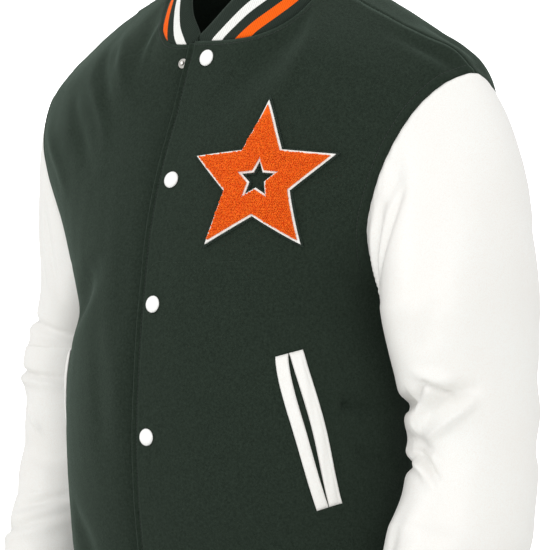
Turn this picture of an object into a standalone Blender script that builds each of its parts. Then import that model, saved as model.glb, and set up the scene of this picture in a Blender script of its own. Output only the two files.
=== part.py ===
"""A varsity jacket as it is worn: a hollow wool body, leatherette sleeves, and a knitted collar,
hem band and cuffs, each sewn piece a wall of its own.

Metres, +Z up. The front faces -Y and +X is the wearer's left. The origin is between the high
shoulder points, where the wearer's neck and shoulders carry the jacket.
"""

import math

import bpy
import numpy as np
from mathutils import Vector

# Cloth
WOOL = 0.0022
LEATHERETTE = 0.0016
RIB = 0.0030
WELT = 0.0024
SEAM = 0.0003  # gap between two sewn pieces
REST = 0.0005  # gap under what lies on a panel
WELT_REST = 0.0008  # the same under a pocket's lips, which cross more of the panel's bends

# Cut
HEM_Z = -0.585
BAND_WIDTH = 0.065
CUFF_WIDTH = 0.075
OVERLAP = 0.018  # how far the under front runs past the middle
SNAP_RADIUS = 0.0075
STUD_RADIUS = 0.0047
WELT_WIDTH = 0.0115
POCKET_SLIT = 0.005  # at its widest
BADGE_SIZE = 0.068  # middle of the star to its tips

# Grid of the panels: columns at the neck and the shoulder, rows at the armhole and the side
NECK_COLUMNS = 8
SHOULDER_COLUMNS = 6
ARMHOLE_ROWS = 9
SIDE_ROWS = 13
FRONT_COLUMNS = NECK_COLUMNS + SHOULDER_COLUMNS
FADE = 3  # how soon the shape of an edge is lost towards the middle of a panel


def table(columns, *rows):
    """Rows of numbers whose columns have names."""
    return np.array(list(rows), dtype=[(name, float) for name in columns.split()])


# The body's section at each height: an oval with fuller corners
BODY_POWER = 2.1
BODY = table(
    "z half_width front back",
    (0.040, 0.280, 0.036, 0.096),
    (0.020, 0.280, 0.042, 0.098),
    (0.000, 0.280, 0.053, 0.100),
    (-0.020, 0.280, 0.068, 0.101),
    (-0.037, 0.279, 0.0785, 0.104),
    (-0.100, 0.265, 0.096, 0.117),
    (-0.165, 0.231, 0.1155, 0.126),
    (-0.230, 0.193, 0.134, 0.130),
    (-0.279, 0.172, 0.1428, 0.128),
    (-0.340, 0.182, 0.149, 0.123),
    (-0.401, 0.184, 0.151, 0.120),
    (-0.460, 0.182, 0.147, 0.121),
    (-0.520, 0.179, 0.138, 0.125),
    (-0.560, 0.173, 0.130, 0.124),
    (-0.585, 0.162, 0.119, 0.115),
)
# The shoulder line's height, where the cloth turns over from front to back, against the share
# of the half width
SHOULDER = table(
    "share z",
    (0.0, 0.055),
    (0.300, 0.024),
    (0.421, 0.008),
    (0.543, -0.010),
    (0.700, -0.035),
    (0.847, -0.059),
    (0.885, -0.0685),
    (0.910, -0.078),
    (1.0, -0.115),
)
ROLL = {"front": 0.100, "back": 0.085}  # height of the turn over the shoulder
SET_BACK = 0.017  # the shoulder tip lies behind the neck point
SLACK = {"z": -0.130, "reach": 0.055, "share": 0.045}  # extra width below the right shoulder
SIDE_FROM, SIDE_TO = -0.08, -0.25  # the side seam comes back to the middle between these heights

# Edges of the pieces on the body
OVER_EDGE = table(
    "z x",
    (0.0, -0.006),
    (-0.05, -0.007),
    (-0.10, -0.013),
    (-0.16, -0.018),
    (-0.24, -0.015),
    (-0.585, -0.016),
)
# The neck sits a little to the wearer's left, as the top snap is undone
NECK_LEFT = table(
    "x z",
    (-0.008, -0.0455),
    (0.004, -0.0425),
    (0.035, -0.0430),
    (0.060, -0.0410),
    (0.077, -0.0350),
    (0.092, -0.0215),
)
NECK_RIGHT = table(
    "x z",
    (0.0, -0.0415),
    (0.0235, -0.0435),
    (0.042, -0.0385),
    (0.051, -0.0300),
    (0.062, -0.0180),
)
NECK_BACK_DEPTH = 0.060  # down from the shoulder line, in the middle of the back
# The shoulder seam lies in front of the shoulder line
SEAM_LEFT = table("share down", (0.357, 0.045), (0.6, 0.034), (0.8, 0.022), (0.905, 0.010))
SEAM_RIGHT = table("share down", (0.300, 0.050), (0.6, 0.034), (0.8, 0.022), (0.905, 0.010))
ARMHOLE_LEFT = table(
    "turn z",
    (60.6, -0.084),
    (57.9, -0.093),
    (56.5, -0.108),
    (55.8, -0.126),
    (56.4, -0.153),
    (58.4, -0.180),
    (60.6, -0.200),
    (66.6, -0.231),
    (77.0, -0.258),
    (90.0, -0.270),
)
ARMHOLE_RIGHT = table(
    "turn z",
    (61.2, -0.084),
    (60.8, -0.093),
    (61.0, -0.108),
    (61.6, -0.126),
    (62.8, -0.153),
    (64.6, -0.180),
    (66.4, -0.200),
    (70.6, -0.231),
    (79.0, -0.258),
    (90.0, -0.270),
)
ARMHOLE_BACK = table(
    "turn z",
    (66.5, -0.082),
    (67.5, -0.095),
    (67.0, -0.115),
    (66.0, -0.150),
    (68.0, -0.200),
    (73.5, -0.235),
    (81.0, -0.258),
    (90.0, -0.270),
)

# The sleeves: middle and half sizes of each section, x measured outwards
ARM_LEFT = table(
    "z x y across along",
    (-0.285, 0.2425, -0.008, 0.0580, 0.0850),
    (-0.340, 0.247, -0.004, 0.0550, 0.0735),
    (-0.400, 0.252, -0.003, 0.0520, 0.0650),
    (-0.450, 0.252, -0.009, 0.0530, 0.0665),
    (-0.496, 0.247, -0.019, 0.0550, 0.0765),
    (-0.545, 0.243, -0.043, 0.0500, 0.0650),
    (-0.582, 0.239, -0.065, 0.0470, 0.0570),
    (-0.600, 0.237, -0.076, 0.0400, 0.0440),
)
ARM_RIGHT = table(
    "z x y across along",
    (-0.322, 0.253, 0.057, 0.0570, 0.0750),
    (-0.350, 0.255, 0.052, 0.0575, 0.0740),
    (-0.378, 0.251, 0.048, 0.0545, 0.0700),
    (-0.416, 0.255, 0.045, 0.0545, 0.0670),
    (-0.473, 0.251, 0.036, 0.0540, 0.0700),
    (-0.505, 0.249, 0.023, 0.0540, 0.0720),
    (-0.550, 0.245, -0.002, 0.0500, 0.0640),
    (-0.585, 0.242, -0.024, 0.0470, 0.0570),
    (-0.603, 0.240, -0.035, 0.0400, 0.0440),
)
TWIST = {"left": 0.0, "right": 0.65}  # how far the underarm turns forward on the arm, radians
SWELL = {"left": 0.2, "right": 0.05}  # how far the sleeve leaves the armhole's top outwards
FLARE = {"left": 0.0, "right": 0.5}  # how far it widens towards the elbow from above
CAP_RINGS = 8
ARM_RINGS = 17
CUFF_RINGS = 3
BAND_ROWS = 4

# Collar: how far its top edge stands in from the neck seam, back and up, from the front to the
# middle of the back
COLLAR = table(
    "share inwards back up",
    (0.00, 0.000, 0.0010, 0.0060),
    (0.05, 0.0105, 0.0050, 0.0120),
    (0.09, 0.0155, 0.0075, 0.0205),
    (0.133, 0.0195, 0.0090, 0.0285),
    (0.172, 0.0225, 0.0095, 0.0355),
    (0.25, 0.0285, 0.0090, 0.0450),
    (0.33, 0.032, 0.0090, 0.0465),
    (0.50, 0.034, 0.0100, 0.0450),
    (0.60, 0.033, 0.0040, 0.0475),
    (0.78, 0.018, -0.0070, 0.0545),
    (1.00, 0.000, -0.0070, 0.0565),
)
COLLAR_START = {"left": 0.004, "right": 0.000}  # x of its ends at the neck seam
COLLAR_ROWS = 4

# Fastening: where the caps stand on the over front, and the stud of the undone one
SNAPS = table(
    "x z",
    (0.018, -0.0588),
    (0.003, -0.1684),
    (0.0044, -0.2789),
    (0.0046, -0.396),
    (0.004, -0.510),
)
BAND_SNAP_AT = 2, 1  # row and column of the hem band
STUD_X, STUD_Z = -0.0140, -0.0610
SNAP_PROFILE = table(
    "radius height",
    (0.0, 0.0036),
    (0.0035, 0.0034),
    (0.0060, 0.0024),
    (SNAP_RADIUS, 0.0010),
    (SNAP_RADIUS, 0.0),
    (0.0, 0.0),
)
STUD_PROFILE = table(
    "radius height",
    (0.0, 0.0030),
    (0.0022, 0.0028),
    (0.0028, 0.0012),
    (STUD_RADIUS, 0.0010),
    (STUD_RADIUS, 0.0),
    (0.0, 0.0),
)
TURNED_STEPS = 14

# Largest folds: the start, middle and end of each, how wide it is and how deep
FOLDS = table(
    "x0 y0 z0 x1 y1 z1 x2 y2 z2 width depth",
    # left front, from the neck, then beside the armhole
    (0.100, -0.052, -0.026, 0.077, -0.082, -0.066, 0.030, -0.098, -0.112, 0.018, 0.0030),
    (0.176, -0.066, -0.215, 0.170, -0.049, -0.253, 0.168, -0.036, -0.300, 0.018, 0.0035),
    # right front, drawn in at the side, then above the hem
    (-0.140, -0.090, -0.290, -0.116, -0.110, -0.277, -0.085, -0.124, -0.250, 0.018, 0.0075),
    (-0.124, -0.110, -0.462, -0.100, -0.123, -0.489, -0.082, -0.127, -0.515, 0.018, 0.0030),
    # left sleeve, under the arm, inside the elbow twice, then outside and behind it
    (0.213, -0.058, -0.150, 0.213, -0.071, -0.193, 0.203, -0.072, -0.247, 0.018, 0.0040),
    (0.256, -0.074, -0.352, 0.226, -0.066, -0.366, 0.200, -0.030, -0.372, 0.015, 0.0130),
    (0.258, -0.070, -0.424, 0.232, -0.062, -0.414, 0.196, -0.024, -0.418, 0.014, 0.0080),
    (0.300, 0.020, -0.336, 0.290, 0.050, -0.352, 0.262, 0.068, -0.368, 0.016, 0.0040),
    (0.292, -0.060, -0.520, 0.296, -0.010, -0.504, 0.268, 0.040, -0.500, 0.016, 0.0040),
    # right sleeve, from the elbow to the wrist
    (-0.304, 0.040, -0.378, -0.280, -0.008, -0.386, -0.226, -0.010, -0.392, 0.014, 0.0060),
    (-0.290, -0.010, -0.494, -0.252, -0.046, -0.492, -0.214, -0.024, -0.480, 0.014, 0.0050),
    (-0.296, 0.090, -0.430, -0.262, 0.112, -0.416, -0.222, 0.104, -0.406, 0.016, 0.0045),
    # back, from both armholes, across the waist, then above the hem
    (-0.150, 0.088, -0.150, -0.130, 0.108, -0.200, -0.080, 0.126, -0.250, 0.022, 0.0045),
    (0.150, 0.088, -0.140, 0.128, 0.108, -0.190, 0.085, 0.126, -0.235, 0.022, 0.0045),
    (-0.060, 0.128, -0.330, 0.000, 0.131, -0.345, 0.070, 0.126, -0.335, 0.026, 0.0050),
    (0.128, 0.092, -0.450, 0.112, 0.103, -0.500, 0.108, 0.102, -0.550, 0.018, 0.0035),
    (-0.130, 0.090, -0.470, -0.110, 0.104, -0.510, -0.105, 0.104, -0.550, 0.018, 0.0035),
)
FOLD_STEPS = 24

# Pocket on the left front; the right one mirrors it
POCKET = table("share x z", (0.0, 0.1290, -0.3210), (0.5, 0.1450, -0.3880), (1.0, 0.1548, -0.4545))
POCKET_ROUND = {"left": 0.0, "right": 0.023}  # the jacket hangs a little turned
POCKET_TILT = math.radians(16)
WELT_STEPS = 10
# The badge: a star of felt, felt and chenille with a small star left open in its middle
BADGE_X, BADGE_Z = 0.0955, -0.170
STAR_WAIST = 0.46  # inner corners, as a share of the tips' distance
STAR_OPENING = 0.30
STAR_STEPS = 3  # along each of its ten edges
# Its layers from the cloth up: how much further out than the chenille each goes, its underside,
# and its height at its edges and in between
LAYERS = table(
    "grow low edge middle",
    (0.0080, 0.0010, 0.0020, 0.0020),
    (0.0040, 0.0024, 0.0034, 0.0034),
    (0.0000, 0.0038, 0.0058, 0.0072),
)
LAYER_NAMES = ("patch_base", "patch_border", "patch_pile")


def smooth(rows, key, value):
    """A smooth curve of one column of a table against another."""
    rows = np.sort(rows, order=key)
    at, height = rows[key], rows[value]
    slope = np.gradient(height, at)

    def read(where):
        where = np.clip(where, at[0], at[-1])
        i = np.clip(np.searchsorted(at, where, side="right") - 1, 0, len(at) - 2)
        step = at[i + 1] - at[i]
        u = (where - at[i]) / step
        return (
            (1 + 2 * u) * (1 - u) ** 2 * height[i]
            + u * (1 - u) ** 2 * step * slope[i]
            + u**2 * (3 - 2 * u) * height[i + 1]
            + u**2 * (u - 1) * step * slope[i + 1]
        )

    return read


def ease(where, start, end):
    """0 before start, 1 past end, smooth between."""
    u = np.clip((where - start) / (end - start), 0, 1)
    return u * u * (3 - 2 * u)


def unit(vectors):
    return vectors / np.maximum(np.linalg.norm(vectors, axis=-1, keepdims=True), 1e-12)


half_width = smooth(BODY, "z", "half_width")
shoulder = smooth(SHOULDER, "share", "z")
depth = {"front": smooth(BODY, "z", "front"), "back": smooth(BODY, "z", "back")}
over_edge = smooth(OVER_EDGE, "z", "x")


def body_point(place, side):
    """The point of the body at a turn round it and a length down from the shoulder line.

    Over the first quarter round the cloth turns from level to upright. The turn is 0 in the
    middle of the front or the back and a right angle at the side seam. A length below 0 lies
    past the shoulder line, on the other side.
    """
    turn, down = place[..., 0], place[..., 1]
    front = (down >= 0) == (side == "front")
    roll = np.where(front, ROLL["front"], ROLL["back"])
    share = np.abs(np.sin(turn))
    lean = np.clip(np.abs(down) / roll, 0, math.pi / 2)
    drop = roll * (1 - np.cos(lean)) + np.maximum(np.abs(down) - roll * math.pi / 2, 0)
    z = shoulder(share) - drop
    full = np.maximum(1 - share**BODY_POWER, 0) ** (1 / BODY_POWER) * np.sin(lean)
    seam_y = SET_BACK * share**2 * ease(z, SIDE_TO, SIDE_FROM)
    outward = np.where(front, -depth["front"](z), depth["back"](z))
    return np.stack([half_width(z) * np.sin(turn), seam_y + outward * full, z], -1)


def body_place(x, z, side):
    """The turn and the length down of the point of the body with this x and z."""
    share = np.clip(x / half_width(z), -1, 1)
    return turn_place(np.arcsin(share), z, side)


def turn_place(turn, z, side):
    drop = np.maximum(shoulder(np.abs(np.sin(turn))) - z, 0)
    lean = np.arccos(np.clip(1 - drop / ROLL[side], 0, 1))
    return np.stack([turn, ROLL[side] * lean + np.maximum(drop - ROLL[side], 0)], -1)


def even(places, side, count):
    """The same path over the body in this many steps of equal length."""
    steps = np.linalg.norm(np.diff(body_point(places, side), axis=0), axis=1)
    length = np.concatenate([[0], np.cumsum(steps)])
    at = np.linspace(0, length[-1], count + 1)
    return np.stack([np.interp(at, length, places[:, k]) for k in (0, 1)], -1)


def path(places, samples=200):
    """A smooth path over the body through these places."""
    steps = np.diff(places / np.ptp(places, axis=0), axis=0)
    length = np.concatenate([[0], np.cumsum(np.linalg.norm(steps, axis=1))])
    walked = table("length turn down", *[(s, *p) for s, p in zip(length, places)])
    at = np.linspace(0, length[-1], samples)
    return np.stack([smooth(walked, "length", name)(at) for name in ("turn", "down")], -1)


def blend(top, bottom, left, right, rows, columns):
    """Fills four edges with a grid. Every edge's offset from a straight line fades inwards."""
    i, j = rows[:, None, None], columns[None, :, None]

    def offset(edge, along):
        return edge - (1 - along) * edge[0] - along * edge[-1]

    corners = (1 - i) * ((1 - j) * top[0] + j * top[-1]) + i * ((1 - j) * bottom[0] + j * bottom[-1])
    down, across = rows[:, None], columns[:, None]
    return (
        corners
        + (1 - j) ** FADE * offset(left, down)[:, None]
        + j**FADE * offset(right, down)[:, None]
        + (1 - i) ** FADE * offset(top, across)[None]
        + i**FADE * offset(bottom, across)[None]
    )


def shoulder_seam(seam, side):
    """The shoulder seam from the neck point to the shoulder tip."""
    share = np.linspace(seam["share"][0], seam["share"][-1], 100)
    down = smooth(seam, "share", "down")(share)
    line = np.stack([np.arcsin(share), down if side == "front" else -down], -1)
    return even(line, side, SHOULDER_COLUMNS)


def front_top(neck, seam, start_x, collar_x):
    """The upper edge of a front: its free corner, the collar's stretch, the shoulder seam."""
    x = np.concatenate([[collar_x], neck["x"][neck["x"] > collar_x + 0.01]])
    z = np.interp(x, neck["x"], neck["z"])
    shoulders = shoulder_seam(seam, "front")
    places = np.concatenate([body_place(x, z, "front"), shoulders[:1]])
    corner = body_place(np.array([start_x]), neck["z"][:1], "front")
    return np.concatenate([corner, even(path(places), "front", NECK_COLUMNS - 1)[:-1], shoulders])


def back_top():
    """The upper edge of the back, from the left shoulder tip to the right one."""
    mirror = np.array([-1, 1])
    left, right = shoulder_seam(SEAM_LEFT, "back"), shoulder_seam(SEAM_RIGHT, "back") * mirror
    middle = np.array([0.0, NECK_BACK_DEPTH])
    over_left, over_right = np.array([left[0, 0] * 0.98, 0.0]), np.array([right[0, 0] * 0.98, 0.0])
    near_left, near_right = (np.array([p[0] * 0.62, NECK_BACK_DEPTH * 0.75]) for p in (left[0], right[0]))
    places = np.stack([left[0], over_left, near_left, middle, near_right, over_right, right[0]])
    neck = even(path(places), "back", 2 * NECK_COLUMNS)
    return np.concatenate([left[::-1], neck[1:-1], right])


def armhole_and_side(rows, side):
    """The outer edge of a panel: down the armhole, then down the side seam."""
    tip = shoulder_seam(SEAM_LEFT, side)[-1]
    places = np.concatenate([[tip], turn_place(np.radians(rows["turn"]), rows["z"], side)])
    armhole = even(path(places), side, ARMHOLE_ROWS)
    share = np.arange(1, SIDE_ROWS + 1) / SIDE_ROWS
    eased = 1 - (1 - share) ** 1.25  # closer rows towards the gathered hem
    z = rows["z"].min() + (HEM_Z - rows["z"].min()) * eased
    seam = turn_place(np.full(SIDE_ROWS, math.pi / 2), z, side)
    return np.concatenate([armhole, seam])


def hem_edge(start_x, side):
    start = math.asin(start_x / half_width(HEM_Z))
    turns = np.linspace(start, math.pi / 2, FRONT_COLUMNS + 1)
    return turn_place(turns, np.full(len(turns), HEM_Z), side)


def row_shares(outer):
    return (outer[:, 1] - outer[0, 1]) / (outer[-1, 1] - outer[0, 1])


def front_places(edge_x, neck, seam, collar_x, armhole):
    """The grid of a front, free edge to side, for the left of the body."""
    outer = armhole_and_side(armhole, "front")
    rows = row_shares(outer)
    top = front_top(neck, seam, float(edge_x(neck["z"][0])), collar_x)
    hem = hem_edge(float(edge_x(HEM_Z)), "front")
    down = top[0, 1] + rows * (hem[0, 1] - top[0, 1])
    z = body_point(np.stack([0 * down, down], -1), "front")[:, 2]
    middle = np.stack([np.arcsin(edge_x(z) / half_width(z)), down], -1)
    middle[0], middle[-1] = top[0], hem[0]
    return blend(top, hem, middle, outer, rows, np.linspace(0, 1, FRONT_COLUMNS + 1))


def back_places():
    """The grid of the back, from the left side seam to the right one."""
    outer = armhole_and_side(ARMHOLE_BACK, "back")
    half_hem = hem_edge(0.0, "back")
    mirror = np.array([-1, 1])
    hem = np.concatenate([half_hem[::-1], half_hem[1:] * mirror])
    columns = np.linspace(0, 1, 2 * FRONT_COLUMNS + 1)
    return blend(back_top(), hem, outer, outer * mirror, row_shares(outer), columns)


def sleeve_rings(armhole, arm, outward, twist, swell, flare):
    """Rings from the armhole to the cuff seam.

    Each column leaves the armhole outwards, the more so under the arm, and lands upright on the
    first ring of the arm. The rings below stand square to the arm's own middle line.
    """
    count = armhole.shape[0]
    angle = 2 * math.pi * np.arange(count) / count  # from the outer side towards the front
    angle = angle - twist * (1 - np.cos(angle)) / 2
    at = np.linspace(0, 1, len(arm))
    step = table("at z x y across along", *[(s, *row) for s, row in zip(at, arm.tolist())])
    u = np.linspace(0, 1, ARM_RINGS)
    middle = np.stack([smooth(step, "at", name)(u) for name in ("x", "y", "z")], -1)
    middle[:, 0] *= outward
    down = unit(np.gradient(middle, axis=0))
    down[0] = 0, 0, -1
    across = unit(np.cross(np.array([0, 1.0, 0]), down)) * -outward
    along = unit(np.cross(down, across))
    along *= np.sign(-along[:, 1:2])
    wide, deep = (smooth(step, "at", name)(u) for name in ("across", "along"))
    rings = (
        middle[:, None]
        + (wide[:, None] * np.cos(angle))[..., None] * across[:, None]
        + (deep[:, None] * np.sin(angle))[..., None] * along[:, None]
    )
    radial = np.stack([outward * np.cos(angle), -np.sin(angle), 0 * angle], -1)
    under = ((1 - np.cos(angle)) / 2) ** 4
    start = radial * (swell + swell * np.cos(angle))[:, None] + np.array([0.08 * outward, 0, -0.7])
    start += under[:, None] * np.array([0.7 * outward, 0, 0.25])
    reach = np.linalg.norm(rings[0] - armhole, axis=1)[:, None]
    outside = ((1 + np.cos(angle)) / 2)[:, None]
    start, end = unit(start) * reach, (down[0] + flare * outside * radial) * reach
    v = (np.arange(CAP_RINGS) / CAP_RINGS)[:, None, None]
    cap = (
        (1 + 2 * v) * (1 - v) ** 2 * armhole
        + v * (1 - v) ** 2 * start
        + v**2 * (3 - 2 * v) * rings[0]
        + v**2 * (v - 1) * end
    )
    return np.concatenate([cap, rings]), middle[-1], down[-1]


def fold_depths(points, normals):
    """How far the folds press in at each point. A fold is a bell across its curve, which runs
    through its three points, and half a sine along it."""
    depths = np.zeros(points.shape[:-1])
    t = np.linspace(0, 1, FOLD_STEPS + 1)[:, None]
    for fold in FOLDS:
        start, middle, end = (np.array([fold[axis + n] for axis in "xyz"]) for n in "012")
        curve = (1 - t) * (1 - 2 * t) * start + 4 * t * (1 - t) * middle + t * (2 * t - 1) * end
        away = points[..., None, :] - curve
        nearest = (away**2).sum(-1).argmin(-1)
        off = np.take_along_axis(away, nearest[..., None, None], axis=-2)[..., 0, :]
        through = np.abs((off * normals).sum(-1))
        beside = np.sqrt(np.maximum((off**2).sum(-1) - through**2, 0))
        along = np.sin(math.pi * (0.1 + 0.8 * nearest / FOLD_STEPS))
        near = 1 - ease(through, 0.02, 0.035)
        depths += fold["depth"] * np.exp(-((beside / fold["width"]) ** 2)) * along * near
    return depths


def crease(grid, closed):
    """The grid with the folds pressed in, except at its edges, where it is sewn."""
    normals = grid_normals(grid, closed)
    depths = fold_depths(grid, normals)
    depths[0] = depths[-1] = 0
    if not closed:
        depths[:, 0] = depths[:, -1] = 0
    return grid - depths[..., None] * normals


def collar_grid(seam):
    """Rows from the collar's top edge down to the neck seam, and the cloth's thickness."""
    steps = np.linalg.norm(np.diff(seam, axis=0), axis=1)
    length = np.concatenate([[0], np.cumsum(steps)]) / steps.sum()
    share = 1 - np.abs(2 * length - 1)
    step = np.stack([smooth(COLLAR, "share", name)(share) for name in ("inwards", "back", "up")], -1)
    step[:, 0] *= np.sign(length - 0.5)
    v = np.linspace(0, 1, COLLAR_ROWS + 1)[:, None, None]
    thin = (0.45 + 0.55 * ease(share, 0.0, 0.2))[None, :, None]  # pinched at its ends
    return seam + (1 - v) * step, RIB * thin


def wall_mesh(outer, inner, closed):
    """A closed wall between an outer and an inner grid, whose columns run anticlockwise."""
    rows, columns = outer.shape[:2]
    points = np.concatenate([outer.reshape(-1, 3), inner.reshape(-1, 3)])
    number = np.arange(rows * columns).reshape(rows, columns)
    if closed:
        number = np.concatenate([number, number[:, :1]], axis=1)
    a, b = number[:-1, :-1].ravel(), number[1:, :-1].ravel()
    c, d = number[1:, 1:].ravel(), number[:-1, 1:].ravel()
    shift = rows * columns
    faces = [np.stack(f, -1) for f in ((a, b, c), (a, c, d))]
    faces += [np.stack(f, -1) + shift for f in ((c, b, a), (d, c, a))]
    loops = [number[0], number[-1][::-1]]
    if not closed:
        loops += [number[::-1, 0], number[:, -1]]
    for loop in loops:
        p, q = loop[:-1], loop[1:]
        first = np.linalg.norm(points[p] - points[q + shift], axis=1)
        second = np.linalg.norm(points[q] - points[p + shift], axis=1)
        short = first < second  # the shorter diagonal, so that two walls that meet turn alike
        faces.append(np.stack((p, q, np.where(short, q, p) + shift), -1))
        faces.append(np.stack((np.where(short, p, q), q + shift, p + shift), -1))
    return points, np.concatenate(faces)


def grid_normals(grid, closed):
    """Outward directions of a grid whose rows run down and columns run anticlockwise."""
    down = np.gradient(grid, axis=0)
    if closed:
        along = np.roll(grid, -1, axis=1) - np.roll(grid, 1, axis=1)
    else:
        along = np.gradient(grid, axis=1)
    return unit(np.cross(down, along))


def seam_key(point):
    return tuple(np.round(point, 6) + 0.0)


def edge_lines(shape, closed):
    """Each edge of a grid: the indices of its points, and 1 or -1 for its way round."""
    rows, columns = shape[:2]
    i, j = np.arange(rows), np.arange(columns)
    lines = [((0 * j, j), 1), ((0 * j + rows - 1, j), -1)]
    if not closed:
        lines += [((i, 0 * i), -1), ((i, 0 * i + columns - 1), 1)]
    return lines


def inwards(line, normals, way, closed):
    """Along the cloth from an edge, square to it, into the piece. Mitred where the edge turns."""
    after = np.cross(np.roll(line, -1, axis=0) - line, normals + np.roll(normals, -1, axis=0))
    if not closed:
        after[-1] = after[-2]
    after = unit(after)
    before = np.roll(after, 1, axis=0)
    if not closed:
        before[0] = after[0]
    turn = (before * after).sum(-1, keepdims=True)
    return way * (before + after) / np.maximum(1 + turn, 0.4)


def sew(pieces):
    """Gives every piece its wall.

    Where pieces share a seam point, their walls lean along the same direction there, and each
    draws back from it by half a seam's gap. The three panels of the body lean as one.
    """
    met = {}
    for name, piece in pieces.items():
        grid, closed = piece["grid"], piece["closed"]
        piece["normals"] = grid_normals(grid, closed)
        for edge, way in edge_lines(grid.shape, closed):
            into = inwards(grid[edge], piece["normals"][edge], way, closed)
            for point, normal, inward in zip(grid[edge], piece["normals"][edge], into):
                cloth = "body" if piece["finish"] == "wool" else name
                met.setdefault(seam_key(point), {}).setdefault(cloth, []).append((normal, inward))
    shared = {}
    for key, cloths in met.items():
        facing = [unit(np.sum([n for n, _ in ways], axis=0)) for ways in cloths.values()]
        into = [unit(np.sum([w for _, w in ways], axis=0)) for ways in cloths.values()]
        lean = np.sum(facing, axis=0)
        if len(facing) == 2:
            lean = lean + np.sign(facing[0] @ into[1]) * (into[0] + into[1])
        shared[key] = unit(lean)
    for piece in pieces.values():
        grid, closed, normals = piece["grid"], piece["closed"], piece["normals"]
        moved = grid.copy()
        for edge, way in edge_lines(grid.shape, closed):
            normals[edge] = [shared[seam_key(point)] for point in grid[edge]]
        for edge, way in edge_lines(grid.shape, closed):
            moved[edge] += SEAM / 2 * inwards(grid[edge], normals[edge], way, closed)
        piece["outer"] = moved
        piece["inner"] = moved - piece["thickness"] * normals


def material(name, colour, roughness, metallic=0.0):
    """A plain finish. The colour is sRGB hex."""
    made = bpy.data.materials.new(name)
    made.use_nodes = True
    shader = made.node_tree.nodes["Principled BSDF"]
    parts = [int(colour[k : k + 2], 16) / 255 for k in (0, 2, 4)]
    linear = [p / 12.92 if p <= 0.04045 else ((p + 0.055) / 1.055) ** 2.4 for p in parts]
    shader.inputs["Base Color"].default_value = (*linear, 1)
    shader.inputs["Roughness"].default_value = roughness
    shader.inputs["Metallic"].default_value = metallic
    return made


def add_wall(name, outer, inner, closed, finish, collection):
    points, faces = wall_mesh(outer, inner, closed)
    mesh = bpy.data.meshes.new(name)
    mesh.from_pydata([tuple(p) for p in points], [], [tuple(f) for f in faces.tolist()])
    mesh.materials.append(finish)
    mesh.shade_smooth()
    mesh.set_sharp_from_angle(angle=math.radians(40))
    collection.objects.link(bpy.data.objects.new(name, mesh))


def on_panel(panel, places, wanted):
    """Points and outward directions on a panel's own facets, at these places of the body."""
    triangles = []
    for grid in (places, panel["outer"], panel["normals"]):
        a, b, c, d = grid[:-1, :-1], grid[1:, :-1], grid[1:, 1:], grid[:-1, 1:]
        flat = [np.stack(three, -2).reshape(-1, 3, grid.shape[-1]) for three in ((a, b, c), (a, c, d))]
        triangles.append(np.concatenate(flat))
    place, point, facing = triangles
    e, f = place[:, 1] - place[:, 0], place[:, 2] - place[:, 0]
    g = wanted.reshape(-1, 1, 2) - place[None, :, 0]
    area = e[:, 0] * f[:, 1] - e[:, 1] * f[:, 0]
    u = (g[..., 0] * f[:, 1] - g[..., 1] * f[:, 0]) / area
    v = (e[:, 0] * g[..., 1] - e[:, 1] * g[..., 0]) / area
    weights = np.stack([1 - u - v, u, v], -1)
    best = weights.min(-1).argmax(-1)
    weight = weights[np.arange(len(best)), best][..., None]
    shape = (*wanted.shape[:-1], 3)
    return (point[best] * weight).sum(1).reshape(shape), unit((facing[best] * weight).sum(1)).reshape(shape)


def along_cloth(x, z, across, up):
    """Places on the front at lengths across and up, measured along the cloth from x and z."""
    near = 0.002

    def spread(dx, dz):
        ends = [body_point(body_place(x + k * dx, z + k * dz, "front"), "front") for k in (-1, 1)]
        return np.linalg.norm(ends[1] - ends[0], axis=-1) / (2 * near)

    return body_place(x + across / spread(near, 0), z + up / spread(0, near), "front")


def lay(panel, places, wanted, low, high):
    """A wall lying on a panel, its underside and its face this far above the cloth."""
    points, facing = on_panel(panel, places, wanted)
    return points + high[..., None] * facing, points + low * facing


def welt(panel, places, outward, further, rear):
    """One leatherette lip of a pocket. The two part towards the top and meet at both ends."""
    u = np.linspace(0, 1, WELT_STEPS + 1)[:, None]
    part = POCKET_SLIT / 2 * np.sin(math.pi * u**0.7) + REST / 2
    v = np.linspace(0, 1, 3)[None]
    across = part + WELT_WIDTH * v if rear else -part - WELT_WIDTH * (1 - v)
    x, z = (smooth(POCKET, "share", name)(u) for name in ("x", "z"))
    tilted = across * math.cos(POCKET_TILT), across * math.sin(POCKET_TILT)
    wanted = along_cloth(x + further + 0 * v, z + 0 * v, *tilted)
    if outward < 0:
        wanted = wanted[:, ::-1] * np.array([-1, 1])
    crown = WELT_REST + WELT * (0.7 + 0.3 * np.sin(math.pi * v)) + 0 * u
    return lay(panel, places, wanted, WELT_REST, crown)


def star(size, waist):
    """Outline of a five-pointed star with this distance to its tips and its inner corners."""
    angle = math.pi / 2 + math.pi / 5 * np.arange(11)
    reach = np.where(np.arange(11) % 2 == 0, size, waist)
    corner = np.stack([reach * np.cos(angle), reach * np.sin(angle)], -1)
    steps = np.arange(STAR_STEPS)[:, None] / STAR_STEPS
    return (corner[:-1, None] * (1 - steps) + corner[1:, None] * steps).reshape(-1, 2)


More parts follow.
